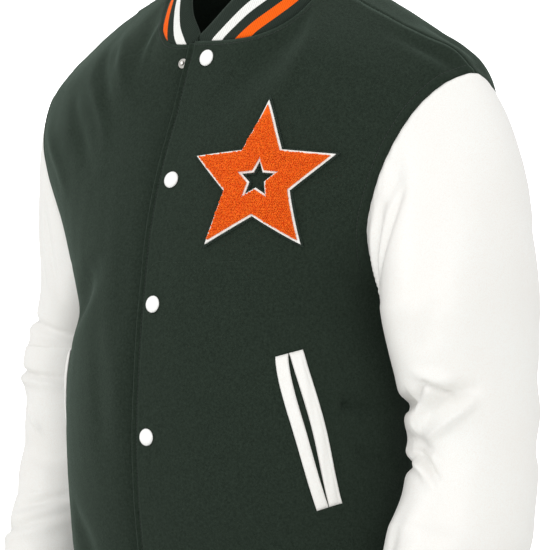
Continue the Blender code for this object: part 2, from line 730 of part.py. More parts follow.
def badge_layer(panel, places, layer):
    """One layer of the badge. Its rows run from the opening out."""
    v = np.array([0, 0.15, 0.36, 0.57, 0.78, 0.9, 1.0])[:, None, None]
    tips, inner = BADGE_SIZE + layer["grow"], STAR_OPENING * BADGE_SIZE - layer["grow"]
    flat = (1 - v) * star(inner, inner * STAR_WAIST) + v * star(tips, tips * STAR_WAIST)
    wanted = along_cloth(BADGE_X + 0 * flat[..., 0], BADGE_Z, flat[..., 0], flat[..., 1])
    rounded = np.clip(v[..., 0] * (1 - v[..., 0]) / 0.12, 0, 1)
    high = layer["edge"] + (layer["middle"] - layer["edge"]) * rounded
    return lay(panel, places, wanted, layer["low"], high + 0 * wanted[..., 0])


def seat(panel, places, x, z, radius):
    """Where a round foot rests on a panel, clear of its facets, and the way that it faces."""
    angle = np.linspace(0, 2 * math.pi, 13)
    reach = np.where(angle < 2 * math.pi, radius, 0)
    wanted = along_cloth(x + 0 * angle, z, reach * np.cos(angle), reach * np.sin(angle))
    points, facing = on_panel(panel, places, wanted)
    out = unit(facing.sum(0))
    return points[-1] + ((points - points[-1]) @ out).max() * out, out


def add_turned(name, profile, finish, collection, spot, facing):
    """A turned fitting, its foot at the spot and its axis along the cloth's outward direction."""
    mesh = bpy.data.meshes.new(name)
    points = [(row["radius"], 0, row["height"]) for row in profile]
    mesh.from_pydata(points, [(k, k + 1) for k in range(len(points) - 1)], [])
    mesh.materials.append(finish)
    made = bpy.data.objects.new(name, mesh)
    turn = made.modifiers.new("turn", "SCREW")
    turn.steps = turn.render_steps = TURNED_STEPS
    turn.use_merge_vertices = True
    turn.merge_threshold = 0.00001
    made.location = spot + REST * facing
    made.rotation_mode = "QUATERNION"
    made.rotation_quaternion = Vector(facing).to_track_quat("Z", "Y")
    collection.objects.link(made)


def clear_scene():
    for item in list(bpy.data.objects):
        bpy.data.objects.remove(item)


def slacken(grid):
    """The grid let out below the right shoulder, in a bell of its height."""
    out = SLACK["share"] * np.exp(-(((grid[..., 2] - SLACK["z"]) / SLACK["reach"]) ** 2))
    return grid * np.stack([1 + out * (grid[..., 0] < 0), 1 + 0 * out, 1 + 0 * out], -1)


def make_body():
    """The grids of the fronts and the back, and the places that they were made from."""
    under_edge = smooth(table("z x", (0.0, -OVERLAP), (HEM_Z, -OVERLAP)), "z", "x")
    over = front_places(over_edge, NECK_LEFT, SEAM_LEFT, COLLAR_START["left"], ARMHOLE_LEFT)
    under = front_places(under_edge, NECK_RIGHT, SEAM_RIGHT, COLLAR_START["right"], ARMHOLE_RIGHT)
    back = back_places()
    left, right = body_point(over, "front"), body_point(under, "front")
    right[..., 0] *= -1
    right, rear = slacken(right), slacken(body_point(back, "back"))
    facing = grid_normals(right[:, ::-1], False)[:, ::-1]
    behind = RIB + 2 * REST + (WOOL - REST - RIB) * ease(right[..., 2], HEM_Z + 0.02, HEM_Z + 0.08)
    lapped = ease(right[..., 0], -0.052, -0.024)
    right -= facing * (behind * lapped)[..., None]
    grids = {"front_left": left, "front_right": right[:, ::-1], "back": rear}
    return grids, {"front_left": over, "front_right": under[:, ::-1] * np.array([-1, 1])}


def armhole_loop(grids, left):
    """The armhole's points from the shoulder tip down the front and up the back."""
    front, back = grids["front_left" if left else "front_right"], grids["back"]
    down = front[: ARMHOLE_ROWS + 1, -1 if left else 0]
    up = back[: ARMHOLE_ROWS + 1, 0 if left else -1]
    return np.concatenate([down, up[1:-1][::-1]])


def band_grid(seam):
    """The hem band, a little narrower than the seam it hangs from."""
    v = np.linspace(0, 1, BAND_ROWS + 1)[:, None, None]
    narrow = 1 - 0.035 * np.sin(v * math.pi / 2)
    return seam * np.concatenate([narrow, narrow, 0 * v + 1], -1) - v * np.array([0, 0, BAND_WIDTH])


def cuff_grid(ring, middle, down):
    v = np.linspace(0, 1, CUFF_RINGS + 1)[:, None, None]
    narrow = 1 - 0.12 * np.sin(v * math.pi / 2)
    return middle + (ring - middle) * narrow + v * CUFF_WIDTH * down


def make_pieces():
    grids, places = make_body()
    pieces = {}
    for name, grid in grids.items():
        pieces[name] = dict(grid=crease(grid, False), closed=False, thickness=WOOL, finish="wool")
    for side, arm, outward in (("left", ARM_LEFT, 1), ("right", ARM_RIGHT, -1)):
        loop = armhole_loop(grids, side == "left")
        rings, middle, down = sleeve_rings(loop, arm, outward, TWIST[side], SWELL[side], FLARE[side])
        if side == "left":
            rings = np.concatenate([rings[:, :1], rings[:, :0:-1]], axis=1)
        sleeve = crease(rings, True)
        pieces["sleeve_" + side] = dict(grid=sleeve, closed=True, thickness=LEATHERETTE, finish="leatherette")
        cuff = cuff_grid(rings[-1], middle, down)
        pieces["cuff_" + side] = dict(grid=cuff, closed=True, thickness=RIB, finish="rib")
    left, right, back = grids["front_left"], grids["front_right"], grids["back"]
    back_neck = back[0, SHOULDER_COLUMNS : SHOULDER_COLUMNS + 2 * NECK_COLUMNS + 1]
    neck = np.concatenate([left[0, 1 : NECK_COLUMNS + 1], back_neck[1:], right[0, SHOULDER_COLUMNS + 1 : -1]])
    collar, thickness = collar_grid(neck)
    pieces["collar"] = dict(grid=collar, closed=False, thickness=thickness, finish="rib")
    hem = np.concatenate([left[-1], back[-1, 1:], right[-1, 1:]])
    pieces["hem_rib"] = dict(grid=band_grid(hem), closed=False, thickness=RIB, finish="rib")
    sew(pieces)
    return pieces, places


def build():
    clear_scene()
    jacket = bpy.data.collections.new("varsity_jacket")
    bpy.context.scene.collection.children.link(jacket)
    finishes = {
        "wool": material("wool_melton", "2D372F", 0.95),
        "leatherette": material("white_leatherette", "F2F1EE", 0.45),
        "rib": material("rib_knit", "29332C", 0.9),
        "white": material("white_enamel", "F8F8F6", 0.25),
        "nickel": material("nickel", "B9B7B2", 0.3, 1.0),
        "felt": material("white_felt", "F4F3EF", 0.95),
        "dark_felt": material("dark_felt", "2A342D", 0.95),
        "chenille": material("orange_chenille", "FF6A10", 0.9),
    }
    pieces, places = make_pieces()
    for name, piece in pieces.items():
        add_wall(name, piece["outer"], piece["inner"], piece["closed"], finishes[piece["finish"]], jacket)
    for side, outward in (("left", 1), ("right", -1)):
        panel, on_body = pieces["front_" + side], places["front_" + side]
        for lip in ("front", "rear"):
            outer, inner = welt(panel, on_body, outward, POCKET_ROUND[side], lip == "rear")
            add_wall(f"welt_{side}_{lip}", outer, inner, False, finishes["leatherette"], jacket)
    over, on_body = pieces["front_left"], places["front_left"]
    for name, layer, finish in zip(LAYER_NAMES, LAYERS, ("dark_felt", "felt", "chenille")):
        outer, inner = badge_layer(over, on_body, layer)
        add_wall(name, outer, inner, True, finishes[finish], jacket)
    for number, (x, z) in enumerate(SNAPS, start=1):
        spot, out = seat(over, on_body, x, z, SNAP_RADIUS)
        add_turned(f"snap_{number}", SNAP_PROFILE, finishes["white"], jacket, spot, out)
    band = pieces["hem_rib"]
    spot, out = band["outer"][BAND_SNAP_AT], band["normals"][BAND_SNAP_AT]
    add_turned(f"snap_{len(SNAPS) + 1}", SNAP_PROFILE, finishes["white"], jacket, spot, out)
    spot, out = seat(pieces["front_right"], places["front_right"], STUD_X, STUD_Z, STUD_RADIUS)
    add_turned("snap_stud", STUD_PROFILE, finishes["nickel"], jacket, spot, out)


build()
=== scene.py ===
# A varsity jacket as it is worn: brushed wool body, leatherette sleeves, striped rib collar,
# plain rib hem and cuffs, snap caps, two pockets and a chenille star.
# Metres, the folds in millimetres. +Z up, front towards -Y, +X the wearer's left, as in the frame.
import math

import bpy
import numpy as np
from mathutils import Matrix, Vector


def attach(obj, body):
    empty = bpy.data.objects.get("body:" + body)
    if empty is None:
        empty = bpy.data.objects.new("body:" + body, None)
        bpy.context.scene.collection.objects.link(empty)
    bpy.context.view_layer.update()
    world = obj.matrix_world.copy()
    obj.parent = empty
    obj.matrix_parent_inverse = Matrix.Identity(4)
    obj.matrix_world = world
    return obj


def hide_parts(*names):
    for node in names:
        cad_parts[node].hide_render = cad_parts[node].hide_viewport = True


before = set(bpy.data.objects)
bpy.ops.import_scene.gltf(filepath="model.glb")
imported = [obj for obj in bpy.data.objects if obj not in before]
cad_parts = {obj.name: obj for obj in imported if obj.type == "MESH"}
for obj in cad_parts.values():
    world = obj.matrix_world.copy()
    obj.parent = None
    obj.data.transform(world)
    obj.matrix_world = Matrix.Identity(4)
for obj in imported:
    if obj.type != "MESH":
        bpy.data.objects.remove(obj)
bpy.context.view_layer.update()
bpy.context.scene.view_settings.view_transform = "Standard"


def table(columns, *rows):
    # Rows of numbers whose columns have names.
    return np.array(list(rows), dtype=[(name, float) for name in columns.split()])


def cubic(u, start, end, leaving, arriving):
    # From start to end while u goes from 0 to 1, with these slopes at the two ends.
    return (
        (1 + 2 * u) * (1 - u) ** 2 * start
        + u * (1 - u) ** 2 * leaving
        + u**2 * (3 - 2 * u) * end
        + u**2 * (u - 1) * arriving
    )


def smooth(rows, key, value):
    # A smooth curve of one column against another: cubics that share their slopes.
    rows = np.sort(rows, order=key)
    at, height = rows[key], rows[value]
    slope = np.gradient(height, at)

    def read(where):
        where = np.clip(where, at[0], at[-1])
        i = np.clip(np.searchsorted(at, where, side="right") - 1, 0, len(at) - 2)
        step = at[i + 1] - at[i]
        u = (where - at[i]) / step
        return cubic(u, height[i], height[i + 1], step * slope[i], step * slope[i + 1])

    return read


def ease(where, start, end):
    # 0 before start, 1 past end, smooth between.
    u = np.clip((where - start) / (end - start), 0, 1)
    return u * u * (3 - 2 * u)


def hump(where, width):
    # A bell: 1 in the middle, about a third one width away.
    return np.exp(-((where / width) ** 2))


def unit(vectors):
    # Each vector over its length.
    return vectors / np.maximum(np.linalg.norm(vectors, axis=-1, keepdims=True), 1e-12)


# The form, as in the solids: the body's section at each height and the line of the shoulders
bodyForm = {
    "power": 2.1,  # 2 is an oval, more gives fuller corners
    "sections": table(
        "z halfWidth front back",
        (0.040, 0.280, 0.036, 0.096),
        (0.020, 0.280, 0.042, 0.098),
        (0.000, 0.280, 0.053, 0.100),
        (-0.020, 0.280, 0.068, 0.101),
        (-0.037, 0.279, 0.0785, 0.104),
        (-0.100, 0.265, 0.096, 0.117),
        (-0.165, 0.231, 0.1155, 0.126),
        (-0.230, 0.193, 0.134, 0.130),
        (-0.279, 0.172, 0.1428, 0.128),
        (-0.340, 0.182, 0.149, 0.123),
        (-0.401, 0.184, 0.151, 0.120),
        (-0.460, 0.182, 0.147, 0.121),
        (-0.520, 0.179, 0.138, 0.125),
        (-0.560, 0.173, 0.130, 0.124),
        (-0.585, 0.162, 0.119, 0.115),
    ),
    "shoulderLine": table(
        "share z",
        (0.0, 0.055), (0.300, 0.024), (0.421, 0.008), (0.543, -0.010), (0.700, -0.035),
        (0.847, -0.059), (0.885, -0.0685), (0.910, -0.078), (1.0, -0.115),
    ),
    "turnOver": {"front": 0.100, "back": 0.085},  # height of the turn over the shoulder
    "setBack": 0.017,  # the shoulder tip lies behind the neck point
    "slack": {"z": -0.130, "reach": 0.055, "share": 0.045},  # extra width below the right shoulder
    "sideFrom": -0.08,
    "sideTo": -0.25,
    "hemZ": -0.585,
    "neckBackDepth": 0.060,
    "neckColumns": 8,
    "shoulderColumns": 6,
    "armholeRows": 9,
    "sideRows": 13,
    "fade": 3,
    "hemCrowd": 1.25,  # more brings the rows closer towards the gathered hem
    "neckBack": ((0.98, 0.0), (0.62, 0.75)),  # points of the back neck, shares of its width and depth
    "lap": 0.018,  # the under front's edge past the middle
    # how far the under front lies behind at the hem and above it, between which heights over the
    # hem that changes, and between which x it falls in
    "behind": {"hem": 0.0040, "above": 0.0027, "rise": (0.02, 0.08), "across": (-0.052, -0.024)},
}
cutLines = {
    "overEdge": table(
        "z x",
        (0.0, -0.006), (-0.05, -0.007), (-0.10, -0.013), (-0.16, -0.018), (-0.24, -0.015),
        (-0.585, -0.016),
    ),
    "neckLeft": table(
        "x z",
        (-0.008, -0.0455), (0.004, -0.0425), (0.035, -0.0430), (0.060, -0.0410), (0.077, -0.0350),
        (0.092, -0.0215),
    ),
    "neckRight": table(
        "x z",
        (0.0, -0.0415), (0.0235, -0.0435), (0.042, -0.0385), (0.051, -0.0300), (0.062, -0.0180),
    ),
    "seamLeft": table("share down", (0.357, 0.045), (0.6, 0.034), (0.8, 0.022), (0.905, 0.010)),
    "seamRight": table("share down", (0.300, 0.050), (0.6, 0.034), (0.8, 0.022), (0.905, 0.010)),
    "armholeLeft": table(
        "turn z",
        (60.6, -0.084), (57.9, -0.093), (56.5, -0.108), (55.8, -0.126), (56.4, -0.153), (58.4, -0.180),
        (60.6, -0.200), (66.6, -0.231), (77.0, -0.258), (90.0, -0.270),
    ),
    "armholeRight": table(
        "turn z",
        (61.2, -0.084), (60.8, -0.093), (61.0, -0.108), (61.6, -0.126), (62.8, -0.153), (64.6, -0.180),
        (66.4, -0.200), (70.6, -0.231), (79.0, -0.258), (90.0, -0.270),
    ),
    "armholeBack": table(
        "turn z",
        (66.5, -0.082), (67.5, -0.095), (67.0, -0.115), (66.0, -0.150), (68.0, -0.200), (73.5, -0.235),
        (81.0, -0.258), (90.0, -0.270),
    ),
}
halfWidth = smooth(bodyForm["sections"], "z", "halfWidth")
shoulder = smooth(bodyForm["shoulderLine"], "share", "z")
depth = {side: smooth(bodyForm["sections"], "z", side) for side in ("front", "back")}
overEdge = smooth(cutLines["overEdge"], "z", "x")


def bodyPoint(place, side):
    # A point of the body at a turn round it and a length down from the shoulder line. The
    # section is the oval |x|^power + |y|^power = 1, scaled by the half width and the depth at
    # that height. Over the first quarter round the cloth turns from level to upright. A length
    # below 0 lies past the shoulder line, on the other side.
    turn, down = place[..., 0], place[..., 1]
    front = (down >= 0) == (side == "front")
    roll = np.where(front, bodyForm["turnOver"]["front"], bodyForm["turnOver"]["back"])
    share = np.abs(np.sin(turn))
    lean = np.clip(np.abs(down) / roll, 0, math.pi / 2)
    drop = roll * (1 - np.cos(lean)) + np.maximum(np.abs(down) - roll * math.pi / 2, 0)
    z = shoulder(share) - drop
    power = bodyForm["power"]
    full = np.maximum(1 - share**power, 0) ** (1 / power) * np.sin(lean)
    seamY = bodyForm["setBack"] * share**2 * ease(z, bodyForm["sideTo"], bodyForm["sideFrom"])
    outward = np.where(front, -depth["front"](z), depth["back"](z))
    return np.stack([halfWidth(z) * np.sin(turn), seamY + outward * full, z], -1)


def turnPlace(turn, z, side):
    # A turn and the length down that reaches a height there: a quarter round, then straight down.
    roll = bodyForm["turnOver"][side]
    drop = np.maximum(shoulder(np.abs(np.sin(turn))) - z, 0)
    lean = np.arccos(np.clip(1 - drop / roll, 0, 1))
    return np.stack([turn, roll * lean + np.maximum(drop - roll, 0)], -1)


def bodyPlace(x, z, side):
    # The place of a point at x and z: the sine of its turn is x over the half width.
    return turnPlace(np.arcsin(np.clip(x / halfWidth(z), -1, 1)), z, side)


def lengthsAlong(surface, axis=0):
    # How far each point lies from the first, along a path or one direction of a grid.
    steps = np.linalg.norm(np.diff(surface, axis=axis), axis=-1)
    return np.insert(np.cumsum(steps, axis=axis), 0, 0, axis=axis)


def readAt(at, length, values):
    # Each column of values at these lengths, straight between the rows.
    return np.stack([np.interp(at, length, column) for column in values.T], -1)


def even(places, side, count):
    # The same path in this many steps of equal length.
    length = lengthsAlong(bodyPoint(places, side))
    return readAt(np.linspace(0, length[-1], count + 1), length, places)


def pathThrough(places, samples=200):
    # A smooth path through a few places, by lengths that give turn and down equal weight.
    length = lengthsAlong(places / np.ptp(places, axis=0))
    walked = table("length turn down", *[(s, *p) for s, p in zip(length, places)])
    at = np.linspace(0, length[-1], samples)
    return np.stack([smooth(walked, "length", name)(at) for name in ("turn", "down")], -1)


def fillEdges(top, bottom, left, right, rows, columns):
    # A grid inside four edges: the corners' flat blend, plus each edge's offset from a straight
    # line, which fades inwards as a power of the distance.
    i, j, fade = rows[:, None, None], columns[None, :, None], bodyForm["fade"]

    def offset(edge, along):
        return edge - (1 - along) * edge[0] - along * edge[-1]

    corners = (1 - i) * ((1 - j) * top[0] + j * top[-1]) + i * ((1 - j) * bottom[0] + j * bottom[-1])
    down, across = rows[:, None], columns[:, None]
    return (
        corners
        + (1 - j) ** fade * offset(left, down)[:, None]
        + j**fade * offset(right, down)[:, None]
        + (1 - i) ** fade * offset(top, across)[None]
        + i**fade * offset(bottom, across)[None]
    )


def shoulderSeam(seam, side):
    # Out from the neck, at the seam's lengths down from the shoulder line, in even steps.
    share = np.linspace(seam["share"][0], seam["share"][-1], 100)
    down = smooth(seam, "share", "down")(share)
    line = np.stack([np.arcsin(share), down if side == "front" else -down], -1)
    return even(line, side, bodyForm["shoulderColumns"])


def frontTop(neck, seam, startX, collarX):
    # The free corner, the collar's stretch, then the shoulder seam.
    clear = 0.01  # the neck's next point lies at least this far past the collar's start
    x = np.concatenate([[collarX], neck["x"][neck["x"] > collarX + clear]])
    z = np.interp(x, neck["x"], neck["z"])
    shoulders = shoulderSeam(seam, "front")
    places = np.concatenate([bodyPlace(x, z, "front"), shoulders[:1]])
    corner = bodyPlace(np.array([startX]), neck["z"][:1], "front")
    stretch = even(pathThrough(places), "front", bodyForm["neckColumns"] - 1)
    return np.concatenate([corner, stretch[:-1], shoulders])


def backTop():
    # The two shoulder seams, and between them the neck through a few points of its curve.
    left = shoulderSeam(cutLines["seamLeft"], "back")
    right = shoulderSeam(cutLines["seamRight"], "back") * np.array([-1, 1])
    low = bodyForm["neckBackDepth"]
    curves = [np.array([line[0, 0], low]) * bodyForm["neckBack"] for line in (left, right)]
    places = np.concatenate([left[:1], curves[0], [[0.0, low]], curves[1][::-1], right[:1]])
    neck = even(pathThrough(places), "back", 2 * bodyForm["neckColumns"])
    return np.concatenate([left[::-1], neck[1:-1], right])


def armholeAndSide(rows, side):
    # Down the armhole in even steps, then down the side to the hem.
    tip = shoulderSeam(cutLines["seamLeft"], side)[-1]
    places = np.concatenate([[tip], turnPlace(np.radians(rows["turn"]), rows["z"], side)])
    armhole = even(pathThrough(places), side, bodyForm["armholeRows"])
    share = np.arange(1, bodyForm["sideRows"] + 1) / bodyForm["sideRows"]
    eased = 1 - (1 - share) ** bodyForm["hemCrowd"]
    z = rows["z"].min() + (bodyForm["hemZ"] - rows["z"].min()) * eased
    seam = turnPlace(np.full(bodyForm["sideRows"], math.pi / 2), z, side)
    return np.concatenate([armhole, seam])


def hemEdge(startX, side):
    # Even turns from one x to the side, all at the hem's height.
    columns = bodyForm["neckColumns"] + bodyForm["shoulderColumns"]
    start = math.asin(startX / halfWidth(bodyForm["hemZ"]))
    turns = np.linspace(start, math.pi / 2, columns + 1)
    return turnPlace(turns, np.full(len(turns), bodyForm["hemZ"]), side)


def rowShares(outer):
    # How far down each row lies, read from the outer edge.
    return (outer[:, 1] - outer[0, 1]) / (outer[-1, 1] - outer[0, 1])


def frontPlaces(side, edgeX):
    # The grid inside the neck and shoulder, the hem, the front edge, and the armhole and side.
    neck = cutLines["neck" + side]
    outer = armholeAndSide(cutLines["armhole" + side], "front")
    rows = rowShares(outer)
    top = frontTop(neck, cutLines["seam" + side], float(edgeX(neck["z"][0])), collarForm["start" + side])
    hem = hemEdge(float(edgeX(bodyForm["hemZ"])), "front")
    down = top[0, 1] + rows * (hem[0, 1] - top[0, 1])
    z = bodyPoint(np.stack([0 * down, down], -1), "front")[:, 2]
    middle = np.stack([np.arcsin(edgeX(z) / halfWidth(z)), down], -1)
    middle[0], middle[-1] = top[0], hem[0]
    return fillEdges(top, hem, middle, outer, rows, np.linspace(0, 1, len(top)))


def backPlaces():
    # The same for the back: its right half is its left one mirrored, apart from the top.
    outer = armholeAndSide(cutLines["armholeBack"], "back")
    halfHem = hemEdge(0.0, "back")
    mirror = np.array([-1, 1])
    hem = np.concatenate([halfHem[::-1], halfHem[1:] * mirror])
    return fillEdges(backTop(), hem, outer, outer * mirror, rowShares(outer), np.linspace(0, 1, len(hem)))


def gridNormals(grid, closed):
    # Square to the grid's two directions. Rows run down and columns anticlockwise.
    down = np.gradient(grid, axis=0)
    if closed:
        along = np.roll(grid, -1, axis=1) - np.roll(grid, 1, axis=1)
    else:
        along = np.gradient(grid, axis=1)
    return unit(np.cross(down, along))


def slacken(grid):
    # Let out below the right shoulder, in a bell of its height.
    slack = bodyForm["slack"]
    out = slack["share"] * hump(grid[..., 2] - slack["z"], slack["reach"])
    grid = grid.copy()
    grid[..., 0] *= 1 + out * (grid[..., 0] < 0)
    return grid


def makeBody():
    # The under front is made as a left one, mirrored, and set behind the upper one.
    underEdge = lambda z: 0 * z - bodyForm["lap"]
    edges = (("Left", overEdge), ("Right", underEdge))
    left, right = (bodyPoint(frontPlaces(*edge), "front") for edge in edges)
    right[..., 0] *= -1
    right = slacken(right)
    facing = gridNormals(right[:, ::-1], False)[:, ::-1]
    deep = bodyForm["behind"]
    above = ease(right[..., 2] - bodyForm["hemZ"], *deep["rise"])
    behind = deep["hem"] + (deep["above"] - deep["hem"]) * above
    right -= facing * (behind * ease(right[..., 0], *deep["across"]))[..., None]
    return {"frontLeft": left, "frontRight": right[:, ::-1], "back": slacken(bodyPoint(backPlaces(), "back"))}


# The sleeves: middle and half sizes of each section, x measured outwards
sleeveForm = {
    "Left": table(
        "z x y across along",
        (-0.285, 0.2425, -0.008, 0.0580, 0.0850),
        (-0.340, 0.247, -0.004, 0.0550, 0.0735),
        (-0.400, 0.252, -0.003, 0.0520, 0.0650),
        (-0.450, 0.252, -0.009, 0.0530, 0.0665),
        (-0.496, 0.247, -0.019, 0.0550, 0.0765),
        (-0.545, 0.243, -0.043, 0.0500, 0.0650),
        (-0.582, 0.239, -0.065, 0.0470, 0.0570),
        (-0.600, 0.237, -0.076, 0.0400, 0.0440),
    ),
    "Right": table(
        "z x y across along",
        (-0.322, 0.253, 0.057, 0.0570, 0.0750),
        (-0.350, 0.255, 0.052, 0.0575, 0.0740),
        (-0.378, 0.251, 0.048, 0.0545, 0.0700),
        (-0.416, 0.255, 0.045, 0.0545, 0.0670),
        (-0.473, 0.251, 0.036, 0.0540, 0.0700),
        (-0.505, 0.249, 0.023, 0.0540, 0.0720),
        (-0.550, 0.245, -0.002, 0.0500, 0.0640),
        (-0.585, 0.242, -0.024, 0.0470, 0.0570),
        (-0.603, 0.240, -0.035, 0.0400, 0.0440),
    ),
    "twist": {"Left": 0.0, "Right": 0.65},  # how far the underarm turns forward, radians
    "swell": {"Left": 0.2, "Right": 0.05},  # how far the sleeve leaves the armhole's top outwards
    "flare": {"Left": 0.0, "Right": 0.5},  # how far it widens towards the elbow from above
    "leave": (0.08, 0.0, -0.7),  # the way that it leaves the armhole, x outwards
    "leaveUnder": (0.7, 0.0, 0.25),  # what the underarm adds to that
    "capRings": 8,
    "armRings": 17,
    "cuffRings": 3,
    "cuffWidth": 0.075,
    "cuffNarrow": 0.12,
}


def sleeveRings(armhole, arm, outward, twist, swell, flare):
    # Above, each column is a cubic from the armhole to the arm's first ring. Below, each ring is
    # an oval square to the arm's middle line.
    count = armhole.shape[0]
    angle = 2 * math.pi * np.arange(count) / count
    angle = angle - twist * (1 - np.cos(angle)) / 2
    at = np.linspace(0, 1, len(arm))
    step = table("at z x y across along", *[(s, *row) for s, row in zip(at, arm.tolist())])
    u = np.linspace(0, 1, sleeveForm["armRings"])
    middle = np.stack([smooth(step, "at", name)(u) for name in ("x", "y", "z")], -1)
    middle[:, 0] *= outward
    down = unit(np.gradient(middle, axis=0))
    down[0] = 0, 0, -1
    across = unit(np.cross(np.array([0, 1.0, 0]), down)) * -outward
    along = unit(np.cross(down, across))
    along *= np.sign(-along[:, 1:2])
    wide, deep = (smooth(step, "at", name)(u) for name in ("across", "along"))
    rings = (
        middle[:, None]
        + (wide[:, None] * np.cos(angle))[..., None] * across[:, None]
        + (deep[:, None] * np.sin(angle))[..., None] * along[:, None]
    )
    radial = np.stack([outward * np.cos(angle), -np.sin(angle), 0 * angle], -1)
    under = ((1 - np.cos(angle)) / 2) ** 4
    leave, more = (np.array(sleeveForm[key]) * (outward, 1, 1) for key in ("leave", "leaveUnder"))
    start = radial * (swell + swell * np.cos(angle))[:, None] + leave + under[:, None] * more
    reach = np.linalg.norm(rings[0] - armhole, axis=1)[:, None]
    outside = ((1 + np.cos(angle)) / 2)[:, None]
    start, end = unit(start) * reach, (down[0] + flare * outside * radial) * reach
    v = (np.arange(sleeveForm["capRings"]) / sleeveForm["capRings"])[:, None, None]
    cap = cubic(v, armhole, rings[0], start, end)
    return np.concatenate([cap, rings]), middle[-1], down[-1]


def armholeLoop(grids, side):
    # Down the front's edge and up the back's.
    rows = bodyForm["armholeRows"] + 1
    front, back = (-1, 0) if side == "Left" else (0, -1)
    down, up = grids["front" + side][:rows, front], grids["back"][:rows, back]
    return np.concatenate([down, up[1:-1][::-1]])


def cuffGrid(ring, middle, down):
    # The sleeve's last ring carried along the arm, a little narrower.
    v = np.linspace(0, 1, sleeveForm["cuffRings"] + 1)[:, None, None]
    narrow = 1 - sleeveForm["cuffNarrow"] * np.sin(v * math.pi / 2)
    return middle + (ring - middle) * narrow + v * sleeveForm["cuffWidth"] * down


# The collar's top edge: how far in, back and up from the neck seam, front to middle of the back
collarForm = {
    "edge": table(
        "share inwards back up",
        (0.00, 0.000, 0.0010, 0.0060),
        (0.05, 0.0105, 0.0050, 0.0120),
        (0.09, 0.0155, 0.0075, 0.0205),
        (0.133, 0.0195, 0.0090, 0.0285),
        (0.172, 0.0225, 0.0095, 0.0355),
        (0.25, 0.0285, 0.0090, 0.0450),
        (0.33, 0.032, 0.0090, 0.0465),
        (0.50, 0.034, 0.0100, 0.0450),
        (0.60, 0.033, 0.0040, 0.0475),
        (0.78, 0.018, -0.0070, 0.0545),
        (1.00, 0.000, -0.0070, 0.0565),
    ),
    "startLeft": 0.004,
    "startRight": 0.000,
    "rows": 4,
    "thinEnds": {"share": 0.45, "reach": 0.2},  # of its thickness, and of its half length
    "bandWidth": 0.065,
    "bandNarrow": 0.035,
    "bandRows": 4,
}


def collarGrid(seam):
    # Straight steps from the seam to the top edge.
    length = lengthsAlong(seam)
    length = length / length[-1]
    share = 1 - np.abs(2 * length - 1)
    names = ("inwards", "back", "up")
    step = np.stack([smooth(collarForm["edge"], "share", name)(share) for name in names], -1)
    step[:, 0] *= np.sign(length - 0.5)
    v = np.linspace(0, 1, collarForm["rows"] + 1)[:, None, None]
    ends = collarForm["thinEnds"]
    thin = ends["share"] + (1 - ends["share"]) * ease(share, 0.0, ends["reach"])
    return seam + (1 - v) * step, thin[None, :, None]


def bandGrid(seam):
    # The hem's seam carried straight down, a little narrower.
    v = np.linspace(0, 1, collarForm["bandRows"] + 1)[:, None, None]
    narrow = 1 - collarForm["bandNarrow"] * np.sin(v * math.pi / 2)
    flat = np.concatenate([narrow, narrow, 0 * v + 1], -1)
    return seam * flat - v * np.array([0, 0, collarForm["bandWidth"]])


def edgeLines(shape, closed):
    # Each edge of a grid: the indices of its points, and 1 or -1 for its way round.
    rows, columns = shape[:2]
    i, j = np.arange(rows), np.arange(columns)
    lines = [((0 * j, j), 1), ((0 * j + rows - 1, j), -1)]
    if not closed:
        lines += [((i, 0 * i), -1), ((i, 0 * i + columns - 1), 1)]
    return lines


def inwards(line, normals, way, closed):
    # Along the cloth from an edge, square to it, into the piece, mitred where the edge turns.
    shortest = 0.4  # keeps the mitre of a sharp corner short
    after = np.cross(np.roll(line, -1, axis=0) - line, normals + np.roll(normals, -1, axis=0))
    if not closed:
        after[-1] = after[-2]
    after = unit(after)
    before = np.roll(after, 1, axis=0)
    if not closed:
        before[0] = after[0]
    turn = (before * after).sum(-1, keepdims=True)
    return way * (before + after) / np.maximum(1 + turn, shortest)


def seamKey(point):
    # To the nearest thousandth of a millimetre, so that pieces find the edges that they share.
    return tuple(np.round(point, 6) + 0.0)


def sew(pieces, gap=0.0003):
    # Pieces that share a seam lean along the same direction there, and each draws back from it
    # by half the gap. The three panels of the body lean as one.
    met = {}
    for name, piece in pieces.items():
        grid, closed = piece["grid"], piece["closed"]
        piece["normals"] = gridNormals(grid, closed)
        for edge, way in edgeLines(grid.shape, closed):
            into = inwards(grid[edge], piece["normals"][edge], way, closed)
            for point, normal, inward in zip(grid[edge], piece["normals"][edge], into):
                cloth = "body" if piece["cloth"] == "wool" else name
                met.setdefault(seamKey(point), {}).setdefault(cloth, []).append((normal, inward))
    shared = {}
    for key, cloths in met.items():
        facing = [unit(np.sum([n for n, _ in ways], axis=0)) for ways in cloths.values()]
        into = [unit(np.sum([w for _, w in ways], axis=0)) for ways in cloths.values()]
        lean = np.sum(facing, axis=0)
        if len(facing) == 2:
            lean = lean + np.sign(facing[0] @ into[1]) * (into[0] + into[1])
        shared[key] = unit(lean)
    for piece in pieces.values():
        grid, closed, normals = piece["grid"], piece["closed"], piece["normals"]
        moved = grid.copy()
        for edge, way in edgeLines(grid.shape, closed):
            normals[edge] = [shared[seamKey(point)] for point in grid[edge]]
        for edge, way in edgeLines(grid.shape, closed):
            moved[edge] += gap / 2 * inwards(grid[edge], normals[edge], way, closed)
        piece["outer"] = moved


